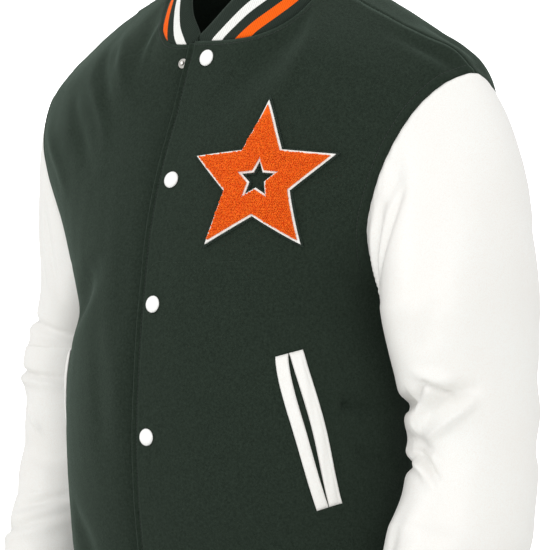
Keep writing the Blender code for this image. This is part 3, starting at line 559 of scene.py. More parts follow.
def makeGrids():
    # The coarse grid of each sewn piece, made from the edges of the ones before it.
    grids = makeBody()
    pieces = {name: dict(grid=grid, closed=False, cloth="wool") for name, grid in grids.items()}
    for side, outward in (("Left", 1), ("Right", -1)):
        leans = (sleeveForm[key][side] for key in ("twist", "swell", "flare"))
        rings, middle, down = sleeveRings(armholeLoop(grids, side), sleeveForm[side], outward, *leans)
        if side == "Left":
            rings = np.concatenate([rings[:, :1], rings[:, :0:-1]], axis=1)
        pieces["sleeve" + side] = dict(grid=rings, closed=True, cloth="leatherette")
        pieces["cuff" + side] = dict(grid=cuffGrid(rings[-1], middle, down), closed=True, cloth="rib")
    left, right, back = (grids[name] for name in ("frontLeft", "frontRight", "back"))
    shoulders, necks = bodyForm["shoulderColumns"], bodyForm["neckColumns"]
    backNeck = back[0, shoulders : shoulders + 2 * necks + 1]
    neck = np.concatenate([left[0, 1 : necks + 1], backNeck[1:], right[0, shoulders + 1 : -1]])
    collar, thin = collarGrid(neck)
    pieces["collar"] = dict(grid=collar, closed=False, cloth="rib", thin=thin)
    hem = np.concatenate([left[-1], back[-1, 1:], right[-1, 1:]])
    pieces["hemBand"] = dict(grid=bandGrid(hem), closed=False, cloth="rib")
    sew(pieces)
    return pieces


pieces = makeGrids()
print("form: grids of", len(pieces), "sewn pieces")


def crowded(count, crowd):
    # Even steps from 0 to 1, pushed towards both ends by a sine.
    u = np.linspace(0, 1, count + 1)
    return u - crowd * np.sin(2 * math.pi * u) / (2 * math.pi)


def refineAlong(grid, axis, at, closed=False):
    # Cubics through the grid's points along one axis, with shared slopes.
    grid = np.moveaxis(grid, axis, 0)
    where = at * (len(grid) - 1)
    if closed:
        where = at * len(grid) + 2
        grid = np.concatenate([grid[-2:], grid, grid[:3]])
    slope = np.gradient(grid, axis=0)
    i = np.clip(where.astype(int), 0, len(grid) - 2)
    u = (where - i).reshape(-1, *[1] * (grid.ndim - 1))
    return np.moveaxis(cubic(u, grid[i], grid[i + 1], slope[i], slope[i + 1]), 0, axis)


def refine(piece, rows, columns, crowdRows, crowdColumns):
    # The piece's surface on a fine grid, with its outward directions and its lengths along.
    down, along = crowded(rows, crowdRows), crowded(columns, crowdColumns)
    if piece["closed"]:
        along = np.arange(columns) / columns
    for name in ("outer", "normals"):
        made = refineAlong(refineAlong(piece[name], 0, down), 1, along, piece["closed"])
        piece["fine" + name.capitalize()] = made
    piece["fineNormals"] = unit(piece["fineNormals"])
    surface = piece["fineOuter"]
    piece["down"] = lengthsAlong(surface, 0)
    piece["along"] = lengthsAlong(surface, 1)


def distanceTo(points, line, reach=0.05):
    # The least distance from each point to a line of short segments, at most reach, in slices to
    # save memory.
    flat = points.reshape(-1, 3)
    best = np.full(len(flat), reach)
    step = max(1, 4_000_000 // len(line))
    a, ab = line[:-1], np.diff(line, axis=0)
    size = np.maximum((ab**2).sum(-1), 1e-12)
    low, high = line.min(0) - reach, line.max(0) + reach
    near = np.flatnonzero(((flat > low) & (flat < high)).all(-1))
    for start in range(0, len(near), step):
        part = near[start : start + step]
        ap = flat[part, None] - a
        t = np.clip((ap * ab).sum(-1) / size, 0, 1)
        best[part] = np.minimum(best[part], np.sqrt(((ap - t[..., None] * ab) ** 2).sum(-1)).min(-1))
    return best.reshape(points.shape[:-1])


# Folds in millimetres: the start, middle and end of each, how wide, how deep (below 0 for a
# ridge), and the height of the roll that stands along its far side
folds = [
    # left front: a soft trough from the neck, and one beside the armhole
    (100, -52, -26, 77, -82, -66, 30, -98, -112, 16, 3.2, 1.2),
    (176, -66, -215, 170, -49, -253, 168, -36, -300, 16, 3.4, 0),
    (184, -78, -180, 160, -90, -200, 128, -112, -205, 12, 1.6, 0.6),
    # left shoulder: slack on both sides of its seam
    (180, -22, -40, 212, -16, -56, 236, -6, -74, 6, 2.6, 1.8),
    (184, 14, -36, 212, 16, -48, 238, 24, -70, 6, 2.4, 1.6),
    # right front: soft upright ones below the shoulder, a ridge low down, a pull from the side
    (-80, -50, -22, -70, -69, -42, -64, -79, -66, 9, 2, 1),
    (-61, -61, -26, -65, -70, -43, -61, -80, -66, 5.5, -2.4, 0),
    (-110, -52, -30, -95, -75, -53, -79, -87, -84, 6.5, -2.6, 0),
    (-129, -58, -44, -121, -72, -65, -103, -86, -92, 8, 3, 0),
    (-143, -65, -67, -114, -85, -97, -96, -95, -130, 8, -2.8, 0),
    (-167, -63, -84, -143, -83, -119, -114, -98, -152, 10, 3.4, 0),
    (-214, -46, -112, -188, -68, -136, -155, -87, -174, 8, -2.8, 0),
    (-40, -142, -290, -34, -146, -350, -26, -147, -420, 14, -2.2, 0),
    (-74, -128, -300, -62, -138, -350, -56, -140, -410, 14, 1.8, 0),
    (-140, -90, -290, -116, -110, -277, -85, -124, -250, 14, 8, 1.4),
    (-124, -110, -462, -100, -123, -489, -82, -127, -515, 13, 3.4, 1.2),
    # left sleeve: two pleats under the arm
    (213, -58, -150, 213, -71, -193, 203, -72, -247, 12, 4, 1.2),
    (205, -62, -196, 200, -68, -232, 200, -64, -290, 4.2, 5.2, 2.4),
    (224, -70, -180, 216, -74, -215, 208, -72, -262, 4, 3.6, 1.8),
    # left elbow: its crease, the cloth that overhangs it, the fork, the hollow and its lower lip
    (254.5, -76.5, -345, 264, -72, -350, 277, -66, -356, 3, 7.6, 0),
    (246, -79, -336, 264, -75, -342, 284, -66, -348, 6, -4.6, 0),
    (255.5, -76.5, -344, 247, -75, -355, 237, -72, -366, 2.6, 5.6, 0),
    (288, -53, -350, 265, -70, -361, 234, -74, -386, 8, 13.6, 0),
    (294, -52, -360, 279, -65, -374, 252, -73, -393, 4.2, -7.6, 0),
    (238, -74, -360, 224, -66, -364, 198, -30, -368, 7, 12, 0),
    (238, -72, -362, 224, -64, -365, 200, -34, -368, 3.4, 6, 0),
    (250, -76, -366, 236, -74, -382, 226, -66, -398, 9, -4, 0),
    # left sleeve: the second fold below it, where the arm bends in
    (210, -52, -396, 235, -67, -397, 258, -71, -404, 7, 7.6, 0),
    (218, -56, -404, 246, -69, -410, 264, -69, -428, 3.4, 8, 5),
    (236, -64, -412, 220, -52, -416, 200, -20, -420, 6, 7, 2),
    (252, -82, -322, 262, -81, -300, 266, -80, -272, 10, 2.2, 0),
    (250, -62, -189, 266, -74, -240, 263, -82, -291, 20, 1.8, 0),
    (222, -86, -486, 256, -88, -470, 286, -60, -462, 14, 3, 1.4),
    (232, -86, -455, 226, -90, -490, 216, -98, -530, 8, 2.2, 1),
    # left sleeve, behind and outside, where the bent elbow pulls
    (294, 44, -342, 280, 62, -354, 252, 68, -368, 11, 4, 1.8),
    (298, 30, -410, 288, 48, -403, 262, 60, -396, 12, 3.4, 1.6),
    (292, -60, -520, 296, -10, -504, 268, 40, -500, 13, 4, 1.6),
    (288, 40, -200, 286, 66, -240, 262, 80, -270, 16, 3, 1.4),
    # right sleeve: long pleats above the elbow
    (-248, -40, -170, -250, -36, -215, -240, -26, -268, 6, 2.4, 1.4),
    (-226, -50, -190, -222, -42, -229, -214, -28, -270, 7, 3, 1.4),
    # right sleeve: creases round the bend, and the ones at the wrist
    (-306, 30, -290, -270, -14, -298, -214, -6, -314, 4.2, 4.8, 3.4),
    (-310, 30, -344, -274, -16, -348, -214, -8, -354, 3.4, 6, 3.4),
    (-286, 6, -414, -262, -18, -424, -210, -4, -436, 12, 4.4, 2),
    (-214, 88, -330, -212, 93, -375, -214, 92, -425, 26, -9.5, 0),
    (-272, -14, -382, -262, -19, -392, -252, -21, -406, 3.6, -4.4, 0),
    (-262, -26, -480, -240, -36, -472, -212, -20, -462, 5.5, 4.4, 2.6),
    (-292, -14, -500, -256, -46, -494, -214, -26, -480, 4.5, 4.8, 3),
    (-296, 90, -430, -262, 112, -416, -222, 104, -406, 13, 4.5, 1.8),
    (-300, 90, -330, -262, 124, -346, -222, 116, -360, 13, 3.6, 1.8),
    # back: slack between the shoulder blades, pulls from the armholes, and above the hem
    (-150, 88, -150, -130, 108, -200, -80, 126, -250, 20, 4.5, 1.6),
    (150, 88, -140, 128, 108, -190, 85, 126, -235, 20, 4.5, 1.6),
    (-60, 128, -330, 0, 131, -345, 70, 126, -335, 24, 5, 2.2),
    (-130, 90, -470, -110, 104, -510, -105, 104, -550, 15, 3.5, 1.4),
    (128, 92, -450, 112, 103, -500, 108, 102, -550, 15, 3.5, 1.4),
    (10, 122, -480, 12, 125, -520, 10, 120, -560, 15, 2.6, 1),
    (-166, 40, -330, -140, 80, -350, -100, 104, -345, 12, 2.6, 1.2),
    (168, 36, -380, 146, 74, -392, 110, 98, -385, 12, 2.4, 1.2),
]
foldForm = {
    "ends": 0.06,  # more leaves its ends deeper
    "blunt": 0.8,  # less keeps it deep for longer
    "through": (0.02, 0.035),  # how far off its curve, square to the cloth, it starts and ends to fade
    "rollAway": 2.0,  # in widths of the fold, as is the next
    "rollWide": 1.5,
}


def foldHeights(points, normals):
    # Each fold is a bell across its curve and a half sine along it. The curve is a parabola
    # through its three points, and its roll is a second bell on the side that it turns to.
    flat, facing = points.reshape(-1, 3), normals.reshape(-1, 3)
    height = np.zeros(len(flat))
    t = np.linspace(0, 1, 25)[:, None]
    for fold in np.array(folds) / 1000:
        a, b, c = fold[:9].reshape(3, 3)
        width, depth, roll = fold[9:]
        b = 2 * b - (a + c) / 2
        curve = (1 - t) ** 2 * a + 2 * t * (1 - t) * b + t**2 * c
        reach = 5 * width
        box = ((flat > curve.min(0) - reach) & (flat < curve.max(0) + reach)).all(-1)
        near = np.flatnonzero(box)
        if len(near) == 0:
            continue
        away = flat[near, None] - curve[None]
        which = (away**2).sum(-1).argmin(-1)
        off = away[np.arange(len(near)), which]
        tangent = unit(np.gradient(curve, axis=0))[which]
        ahead = (off * tangent).sum(-1)
        across = (off * unit(np.cross(tangent, facing[near]))).sum(-1)
        beside = np.abs((off * facing[near]).sum(-1))
        share = which / (len(t) - 1)
        ends = foldForm["ends"]
        fade = np.sin(math.pi * (ends + (1 - 2 * ends) * share)) ** foldForm["blunt"]
        fade *= hump(ahead, width) * (1 - ease(beside, *foldForm["through"]))
        shape = -depth * hump(across, width)
        shape += roll * hump(across - foldForm["rollAway"] * width, foldForm["rollWide"] * width)
        height[near] += fade * shape
    return height.reshape(points.shape[:-1])


# Unevenness of each cloth: how high its waves stand, how long they are, and their seed
unevenness = {
    "wool": ((0.0007, 0.09, 3), (0.00025, 0.02, 4)),
    "leatherette": ((0.0009, 0.08, 5), (0.0003, 0.025, 6)),
    "rib": ((0.0006, 0.06, 7),),
}


def waves(points, cloth):
    # Sums of slow waves, each the mean of eight sines that cross the cloth in seeded directions.
    height = 0
    for high, size, seed in unevenness[cloth]:
        rng = np.random.default_rng(seed)
        ways = unit(rng.normal(size=(8, 3))) * (2 * math.pi / (size * rng.uniform(0.7, 1.5, (8, 1))))
        height = height + high * np.sin(points @ ways.T + rng.uniform(0, 6.28, 8)).mean(-1)
    return height


def settle(piece, relief):
    # The finished face and the wall's other side, from the smooth form and its heights.
    normals = piece["fineNormals"]
    piece["face"] = piece["fineOuter"] + relief[..., None] * normals
    piece["facing"] = unit(gridNormals(piece["face"], piece["closed"]))
    thick = piece["thick"] * piece.get("fineThin", 1.0)
    piece["lining"] = piece["face"] - thick * normals


def gridFaces(rows, columns, closed):
    # Quads of a grid, as indices of its points row by row.
    i, j = np.meshgrid(np.arange(rows - 1), np.arange(columns if closed else columns - 1), indexing="ij")
    k = (j + 1) % columns
    corners = ((i, j), (i + 1, j), (i + 1, k), (i, k))
    return np.stack([row * columns + column for row, column in corners], -1).reshape(-1, 4)


def wallFaces(rows, columns, closed):
    # Quads of the outside, the inside and the edges between, as indices into both grids.
    outside, under, last = gridFaces(rows, columns, closed), rows * columns, (rows - 1) * columns
    j = np.arange(columns if closed else columns - 1)
    k = (j + 1) % columns
    rims = [(j, k), (last + k, last + j)]
    if not closed:
        i = np.arange(rows - 1) * columns
        rims += [(i + columns, i), (i + columns - 1, i + 2 * columns - 1)]
    between = [np.stack([a, b, b + under, a + under], -1) for a, b in rims]
    return np.concatenate([outside, outside[:, ::-1] + under, *between])


def addMesh(name, points, faces, finish, cloth=None):
    # cloth holds for each point its length along the cloth, its length down, and its height, from which the
    # rib's material paints shade into the furrows.
    mesh = bpy.data.meshes.new(name)
    mesh.vertices.add(len(points))
    mesh.vertices.foreach_set("co", np.ascontiguousarray(points, dtype=np.float32).ravel())
    mesh.loops.add(faces.size)
    mesh.loops.foreach_set("vertex_index", np.ascontiguousarray(faces, dtype=np.int32).ravel())
    mesh.polygons.add(len(faces))
    mesh.polygons.foreach_set("loop_start", np.arange(0, faces.size, faces.shape[1], dtype=np.int32))
    mesh.polygons.foreach_set("use_smooth", np.ones(len(faces), dtype=bool))
    mesh.update(calc_edges=True)
    if cloth is not None:
        layer = mesh.attributes.new("cloth", "FLOAT_VECTOR", "POINT")
        layer.data.foreach_set("vector", np.ascontiguousarray(cloth, dtype=np.float32).ravel())
    mesh.materials.append(materials[finish])
    made = bpy.data.objects.new(name, mesh)
    bpy.context.scene.collection.objects.link(made)
    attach(made, "root")
    return made


def addWall(name, outer, inner, closed, finish, cloth=None):
    # A wall between two grids of one size, closed round its edges.
    rows, columns = outer.shape[:2]
    points = np.concatenate([outer.reshape(-1, 3), inner.reshape(-1, 3)])
    if cloth is not None:
        cloth = np.concatenate([cloth.reshape(-1, 3)] * 2)
    return addMesh(name, points, wallFaces(rows, columns, closed), finish, cloth)


def linear(code):
    # Linear red, green, blue and 1 from an sRGB hex code.
    share = np.array([int(code[k : k + 2], 16) for k in (0, 2, 4)]) / 255
    value = np.where(share <= 0.04045, share / 12.92, ((share + 0.055) / 1.055) ** 2.4)
    return (*value.tolist(), 1.0)


def connect(tree, node, inputs):
    # An input is a value, an output that feeds it, or a node whose first output does.
    for key, value in inputs.items():
        if isinstance(value, bpy.types.Node):
            value = value.outputs[0]
        if isinstance(value, bpy.types.NodeSocket):
            tree.links.new(value, node.inputs[key])
        else:
            node.inputs[key].default_value = value


def addNode(tree, kind, inputs, **settings):
    # One node with its settings and links.
    made = tree.nodes.new("ShaderNode" + kind)
    for key, value in settings.items():
        setattr(made, key, value)
    connect(tree, made, inputs)
    return made


def startMaterial(name):
    # A new material, its node tree and its surface.
    made = bpy.data.materials.new(name)
    made.use_nodes = True
    tree = made.node_tree
    return made, tree, tree.nodes["Principled BSDF"]


def feltedMaterial(name, dark, light, rim, clump, fibre, bump, roughness, sheen):
    # Brushed and fulled wool: a matt pile that hides the weave. Two sizes of mottling give the
    # clumps of the nap, a fine bump its fibres, and the sheen its pale rim.
    made, tree, surface = startMaterial(name)
    place = addNode(tree, "TexCoord", {}).outputs["Object"]
    clumps = addNode(tree, "TexNoise", {"Vector": place, "Scale": 1 / clump, "Detail": 3.0})
    fibres = addNode(tree, "TexNoise", {"Vector": place, "Scale": 1 / fibre, "Detail": 2.0})
    both = addNode(tree, "Mix", {"Factor": 0.5, 2: clumps, 3: fibres})
    tone = addNode(tree, "MapRange", {"Value": both, "From Min": 0.35, "From Max": 0.65})
    colour = addNode(tree, "Mix", {0: tone, 6: linear(dark), 7: linear(light)}, data_type="RGBA")
    look = {
        "Base Color": colour.outputs[2],
        "Roughness": roughness,
        "Sheen Weight": sheen,
        "Sheen Roughness": 0.45,
        "Sheen Tint": linear(rim),
        "Specular IOR Level": 0.2,
        "Normal": addNode(tree, "Bump", {"Height": fibres, "Strength": bump, "Distance": 0.0006}),
    }
    connect(tree, surface, look)
    return made


def leatheretteMaterial(name, colour, furrowShade, grain, bump):
    # Coated cloth with a pressed grain: small rounded cells between fine furrows. The furrows are painted
    # shade, a little darker and warmer, and a slow random drift of tone pulls towards the same colour.
    # The coat is smooth enough for broad soft highlights.
    made, tree, surface = startMaterial(name)
    place = addNode(tree, "TexCoord", {}).outputs["Object"]
    cells = addNode(tree, "TexVoronoi", {"Vector": place, "Scale": 1 / grain}, feature="DISTANCE_TO_EDGE")
    raised = addNode(tree, "MapRange", {"Value": cells, "From Max": 0.22})
    drift = addNode(tree, "TexNoise", {"Vector": place, "Scale": 14.0, "Detail": 2.0})
    worn = {"Value": drift, "From Min": 0.3, "From Max": 0.7, "To Min": 0.75}
    tone = addNode(tree, "Math", {0: raised, 1: addNode(tree, "MapRange", worn)}, operation="MULTIPLY")
    mixed = addNode(tree, "Mix", {0: tone, 6: linear(furrowShade), 7: linear(colour)}, data_type="RGBA")
    look = {
        "Base Color": mixed.outputs[2],
        "Roughness": addNode(tree, "MapRange", {"Value": drift, "To Min": 0.36, "To Max": 0.48}),
        "Coat Weight": 0.12,
        "Coat Roughness": 0.3,
        "Normal": addNode(tree, "Bump", {"Height": raised, "Strength": bump, "Distance": 0.0003}),
    }
    connect(tree, surface, look)
    return made


def knitMaterial(name, course, furrowShade, dark=None, light=None, stripes=None):
    # One by one rib: the raised stitches and the furrows between are in the mesh. The height kept with each
    # point darkens the furrows as painted shade, and waves down the cloth are its courses. The yarn is
    # mottled between two tones, or striped by the length down.
    made, tree, surface = startMaterial(name)
    cloth = addNode(tree, "Attribute", {}, attribute_name="cloth").outputs["Vector"]
    split = addNode(tree, "SeparateXYZ", {0: cloth}).outputs
    place = addNode(tree, "TexCoord", {}).outputs["Object"]
    fibres = addNode(tree, "TexNoise", {"Vector": place, "Scale": 900.0, "Detail": 2.0})
    turn = addNode(tree, "Math", {0: split["Y"], 1: 2 * math.pi / course}, operation="MULTIPLY")
    courses = addNode(tree, "Math", {0: turn}, operation="SINE")
    if stripes:
        span = 0.1  # the length of cloth that the colour ramp covers
        along = addNode(tree, "Math", {0: split["Y"], 1: 1 / span}, operation="MULTIPLY")
        yarn = addNode(tree, "ValToRGB", {"Fac": along})
        yarn.color_ramp.interpolation = "CONSTANT"
        steps = yarn.color_ramp.elements
        for n, (start, code) in enumerate(stripes):
            step = steps[n] if n < 2 else steps.new(1.0)
            step.position = start / span
            step.color = linear(code)
    else:
        tones = {0: fibres, 6: linear(dark), 7: linear(light)}
        yarn = addNode(tree, "Mix", tones, data_type="RGBA").outputs[2]
    shade = addNode(tree, "MapRange", {"Value": split["Z"], "To Min": furrowShade})
    colour = addNode(tree, "Mix", {0: 1.0, 6: yarn, 7: shade}, data_type="RGBA", blend_type="MULTIPLY")
    height = addNode(tree, "Math", {0: courses, 1: 0.35, 2: fibres}, operation="MULTIPLY_ADD")
    look = {
        "Base Color": colour.outputs[2],
        "Roughness": 0.9,
        "Sheen Weight": 0.25,
        "Sheen Tint": linear("8FA396"),
        "Specular IOR Level": 0.2,
        "Normal": addNode(tree, "Bump", {"Height": height, "Strength": 0.35, "Distance": 0.0005}),
    }
    connect(tree, surface, look)
    return made


def plainMaterial(name, colour, gloss, wear, metallic):
    # Enamel, plated metal or thread: one even colour, its gloss broken by faint wear.
    made, tree, surface = startMaterial(name)
    place = addNode(tree, "TexCoord", {}).outputs["Object"]
    worn = addNode(tree, "TexNoise", {"Vector": place, "Scale": wear, "Detail": 3.0})
    rough = addNode(tree, "MapRange", {"Value": worn, "To Min": gloss[0], "To Max": gloss[1]})
    connect(tree, surface, {"Base Color": linear(colour), "Roughness": rough, "Metallic": metallic})
    return made


# Where each stripe begins, down from the collar's upper edge, and its yarn
collarStripes = (
    (0.0, "232D26"), (0.0165, "FAFAF6"), (0.0265, "232D26"), (0.0370, "FF6600"), (0.0475, "232D26"),
)
materials = {
    "wool": feltedMaterial(
        "wool_melton", dark="141E16", light="263128", rim="8FA898",
        clump=0.0022, fibre=0.0007, bump=0.5, roughness=0.95, sheen=0.3,
    ),
    # the leatherette's second colour is painted shade for the furrows of its grain
    "leatherette": leatheretteMaterial(
        "white_leatherette", colour="EEF1EF", furrowShade="E8E3DD", grain=0.0009, bump=0.12
    ),
    # the knits' furrow value sets how dark the painted shade in their furrows is
    "rib": knitMaterial("rib_knit", course=0.0011, furrowShade=0.55, dark="1E2821", light="303B33"),
    "striped": knitMaterial("striped_rib_knit", course=0.0011, furrowShade=0.72, stripes=collarStripes),
    "whiteFelt": feltedMaterial(
        "white_felt", dark="E4E2DC", light="FAF9F6", rim="FFFFFF",
        clump=0.002, fibre=0.0006, bump=0.5, roughness=0.95, sheen=0.15,
    ),
    "darkFelt": feltedMaterial(
        "dark_felt", dark="1A231D", light="2C3730", rim="8FA898",
        clump=0.002, fibre=0.0006, bump=0.5, roughness=0.95, sheen=0.25,
    ),
    "chenille": feltedMaterial(
        "chenille", dark="E64E00", light="FF7A18", rim="FFB070",
        clump=0.003, fibre=0.0004, bump=0.6, roughness=0.9, sheen=0.3,
    ),
    "enamel": plainMaterial("enamelled_brass", "F8F8F6", gloss=(0.12, 0.2), wear=300.0, metallic=0.0),
    "nickel": plainMaterial("nickelled_brass", "C9C6C0", gloss=(0.18, 0.3), wear=500.0, metallic=1.0),
    "darkThread": plainMaterial(
        "dark_polyester_thread", "18211B", gloss=(0.45, 0.6), wear=900.0, metallic=0.0
    ),
}
print("materials:", len(materials))

# Each sewn piece: its node and finish, its wall, how fine its mesh is, how much the rows and
# columns crowd towards its edges, the step from rib to rib, and the size that it was cut to
woolCloth = {"slot": "wool_melton", "finish": "wool", "thick": 0.0022}
coatedCloth = {"slot": "leatherette", "finish": "leatherette", "thick": 0.0016}
ribCloth = {"slot": "rib_knit", "finish": "rib", "thick": 0.0030}
cuff = {
    **ribCloth, "rows": 16, "columns": 480, "crowd": (0.2, 0.0), "rib": 0.0022,
    "flat": (0.25, 0.075), "area": 0.018,
}
panels = {
    "frontLeft": {
        **woolCloth, "node": "front_left", "rows": 190, "columns": 110, "crowd": (0.3, 0.5),
        "flat": (0.33, 0.60), "area": 0.150,
    },
    "frontRight": {
        **woolCloth, "node": "front_right", "rows": 190, "columns": 110, "crowd": (0.3, 0.5),
        "flat": (0.35, 0.60), "area": 0.155,
    },
    "back": {
        **woolCloth, "name": "backPanel", "node": "back", "rows": 140, "columns": 164, "crowd": (0.3, 0.4),
        "flat": (0.62, 0.66), "area": 0.330,
    },
    "sleeveLeft": {
        **coatedCloth, "node": "sleeve_left", "rows": 240, "columns": 196, "crowd": (0.2, 0.0),
        "flat": (0.48, 0.58), "area": 0.210,
    },
    "sleeveRight": {
        **coatedCloth, "node": "sleeve_right", "rows": 230, "columns": 120, "crowd": (0.2, 0.0),
        "flat": (0.48, 0.58), "area": 0.210,
    },
    "collar": {
        **ribCloth, "name": "ribCollar", "node": "collar", "finish": "striped",
        "rows": 16, "columns": 1100, "crowd": (0.0, 0.0), "rib": 0.0018,
        "flat": (0.50, 0.057), "area": 0.027,
    },
    "hemBand": {
        **ribCloth, "node": "hem_rib", "rows": 11, "columns": 1800, "crowd": (0.2, 0.0), "rib": 0.0022,
        "flat": (0.98, 0.065), "area": 0.062,
    },
    "cuffLeft": {**cuff, "node": "cuff_left"},
    "cuffRight": {**cuff, "node": "cuff_right"},
}
for name, panel in panels.items():
    piece = pieces[name]
    refine(piece, panel["rows"], panel["columns"], *panel["crowd"])
    piece["thick"] = panel["thick"]
thin = refineAlong(pieces["collar"]["thin"], 1, crowded(panels["collar"]["columns"], 0.0))
pieces["collar"]["fineThin"] = thin

# Seams as lines of points: the edges that two pieces share. A rib's edge has more points than
# its seam needs, so only every few are taken.
shoulderShare = bodyForm["shoulderColumns"] / (2 * bodyForm["shoulderColumns"] + 2 * bodyForm["neckColumns"])
backTopLine = pieces["back"]["fineOuter"][0]
stop = int(len(backTopLine) * shoulderShare) + 2
armholeShare = bodyForm["armholeRows"] / (bodyForm["armholeRows"] + bodyForm["sideRows"])
sideFrom = int(panels["frontLeft"]["rows"] * armholeShare)
seamLines = {
    "neck": pieces["collar"]["fineOuter"][-1, ::6],
    "armholeLeft": pieces["sleeveLeft"]["fineOuter"][0],
    "armholeRight": pieces["sleeveRight"]["fineOuter"][0],
    "shoulderLeft": backTopLine[:stop],
    "shoulderRight": backTopLine[-stop:],
    "sideLeft": pieces["frontLeft"]["fineOuter"][sideFrom:, -1],
    "sideRight": pieces["frontRight"]["fineOuter"][sideFrom:, 0],
    "hem": pieces["hemBand"]["fineOuter"][0, ::8],
    "wristLeft": pieces["cuffLeft"]["fineOuter"][0, ::4],
    "wristRight": pieces["cuffRight"]["fineOuter"][0, ::4],
    "overEdge": pieces["frontLeft"]["fineOuter"][:, 0],
}
for name in ("armholeLeft", "armholeRight", "wristLeft", "wristRight"):
    seamLines[name] = np.concatenate([seamLines[name], seamLines[name][:1]])

# Beside a line, the height, distance and width of each bell that shapes the cloth there
edgeBells = {
    "overEdge": (
        (-0.0008, 0.0, 0.0009), (-0.0014, 0.0050, 0.0014), (0.0018, 0.0021, 0.0019), (-0.0002, 0.022, 0.0016),
    ),
    "underEdge": ((-0.0022, 0.002, 0.0080),),  # it sinks a little beside the upper edge
    "pocket": ((-0.0009, 0.0, 0.0018), (0.0004, 0.004, 0.0025)),
    "ribSeam": ((-0.0008, 0.0, 0.0020),),
    "ribRim": ((-0.0012, 0.0, 0.0016),),  # the folded edge turns under
}
# How far the topstitching lies from each seam
stitchAway = {"armhole": 0.0085, "neck": 0.0045, "hem": 0.005, "placket": 0.005}


def bells(away, rows):
    # A sum of bells across a line, from rows of height, distance and width.
    return sum(high * hump(away - place, width) for high, place, width in rows)


def seamRelief(points, lines, valley, ridge, stitch):
    # A valley at each seam, a low ridge beside it over the turned edge, and a line where the
    # stitching draws the cloth in.
    rows = [(-valley, 0.0, 0.0018), (ridge, 0.0048, 0.0030)]
    if stitch:
        rows.append((-0.0004, stitch, 0.0011))
    return sum(bells(distanceTo(points, seamLines[line]), rows) for line in lines)


def alongCloth(x, z, across, up):
    # Places on the front at lengths across and up, measured along the cloth from x and z.
    near = 0.002  # half the step that measures how far the cloth spreads

    def spread(dx, dz):
        ends = [bodyPoint(bodyPlace(x + k * dx, z + k * dz, "front"), "front") for k in (-1, 1)]
        return np.linalg.norm(ends[1] - ends[0], axis=-1) / (2 * near)

    return bodyPlace(x + across / spread(near, 0), z + up / spread(0, near), "front")


def drape(points, piece, reach=0.0022):
    # Points brought down on a piece's face: the mean of the planes of the points of the face
    # around each, weighted by a bell of their distance.
    margin = 0.012  # only the face this far round the points is looked at
    flat = points.reshape(-1, 3)
    face, facing = piece["face"].reshape(-1, 3), piece["facing"].reshape(-1, 3)
    near = ((face > flat.min(0) - margin) & (face < flat.max(0) + margin)).all(-1)
    face, facing = face[near], facing[near]
    made, out = np.empty_like(flat), np.empty_like(flat)
    step = max(1, 3_000_000 // len(face))
    for start in range(0, len(flat), step):
        part = flat[start : start + step, None]
        off = part - face
        far = (off**2).sum(-1)
        weight = np.exp(-(far - far.min(-1, keepdims=True)) / (2 * reach**2))
        weight /= weight.sum(-1, keepdims=True)
        fall = (off * facing).sum(-1)
        made[start : start + step] = flat[start : start + step] - (weight * fall) @ facing
        out[start : start + step] = weight @ facing
    return made.reshape(points.shape), unit(out).reshape(points.shape)


pocketForm = {
    "line": table("share x z", (0.0, 0.1290, -0.3210), (0.5, 0.1450, -0.3880), (1.0, 0.1548, -0.4545)),
    "further": {"Left": 0.0, "Right": 0.023},  # the jacket hangs a little turned
    "tilt": math.radians(16),
    "width": 0.0115,
    "slit": 0.005,
    "parted": 0.00025,  # half the slit at its ends
    "allowance": 0.010,
    "rise": 0.0030,
    "edge": 0.0006,  # how thick a lip is at its edges
    "fall": 0.30,  # how much lower it is away from the slit
    "ripple": 0.08,
    "groove": 0.20,  # how much the stitching draws it in
    "under": 0.0006,  # space left under what lies on a panel
}


def pocketPoints(u, further, across, along):
    # Points of the left front at shares u down the slit, and at lengths across and along it
    # that its tilt turns.
    x, z = (smooth(pocketForm["line"], "share", key)(u) for key in ("x", "z"))
    cos, sin = math.cos(pocketForm["tilt"]), math.sin(pocketForm["tilt"])
    places = alongCloth(x + further, z, across * cos - along * sin, across * sin - along * cos)
    return bodyPoint(places, "front")


def pocketOutline(side):
    # The closed line, one allowance outside the lips, where the pocket's edges press through.
    u = np.linspace(0, 1, 24)[:, None]
    out = pocketForm["width"] + pocketForm["allowance"]
    longer = pocketForm["allowance"] * (2 * u - 1)
    further = pocketForm["further"][side]
    inner, outer = (pocketPoints(u, further, way * out, longer)[:, 0] for way in (-1, 1))
    line = np.concatenate([inner, outer[::-1], inner[:1]])
    if side == "Right":
        line = line * np.array([-1, 1, 1])
    fine = np.linspace(0, len(line) - 1, 12 * len(line))
    return readAt(fine, np.arange(len(line)), line)


# Seams of the body: the valley's depth, the ridge's height and where the stitching lies
woolSeams = (
    (("armholeLeft", "armholeRight"), 0.0009, 0.0006, stitchAway["armhole"]),
    (("neck",), 0.0009, 0.0004, stitchAway["neck"]),
    (("hem",), 0.0009, 0.0005, stitchAway["hem"]),
    (("shoulderLeft", "shoulderRight", "sideLeft", "sideRight"), 0.0008, 0.0002, None),
)
for name in ("frontLeft", "frontRight", "back"):
    piece = pieces[name]
    points = piece["fineOuter"]
    height = foldHeights(points, piece["fineNormals"])
    height += waves(points, "wool")
    for lines, *sizes in woolSeams:
        height += seamRelief(points, lines, *sizes)
    if name != "back":
        edge = "overEdge" if name == "frontLeft" else "underEdge"
        height += bells(distanceTo(points, seamLines["overEdge"]), edgeBells[edge])
        height += bells(distanceTo(points, pocketOutline(name[5:])), edgeBells["pocket"])
    settle(piece, height)

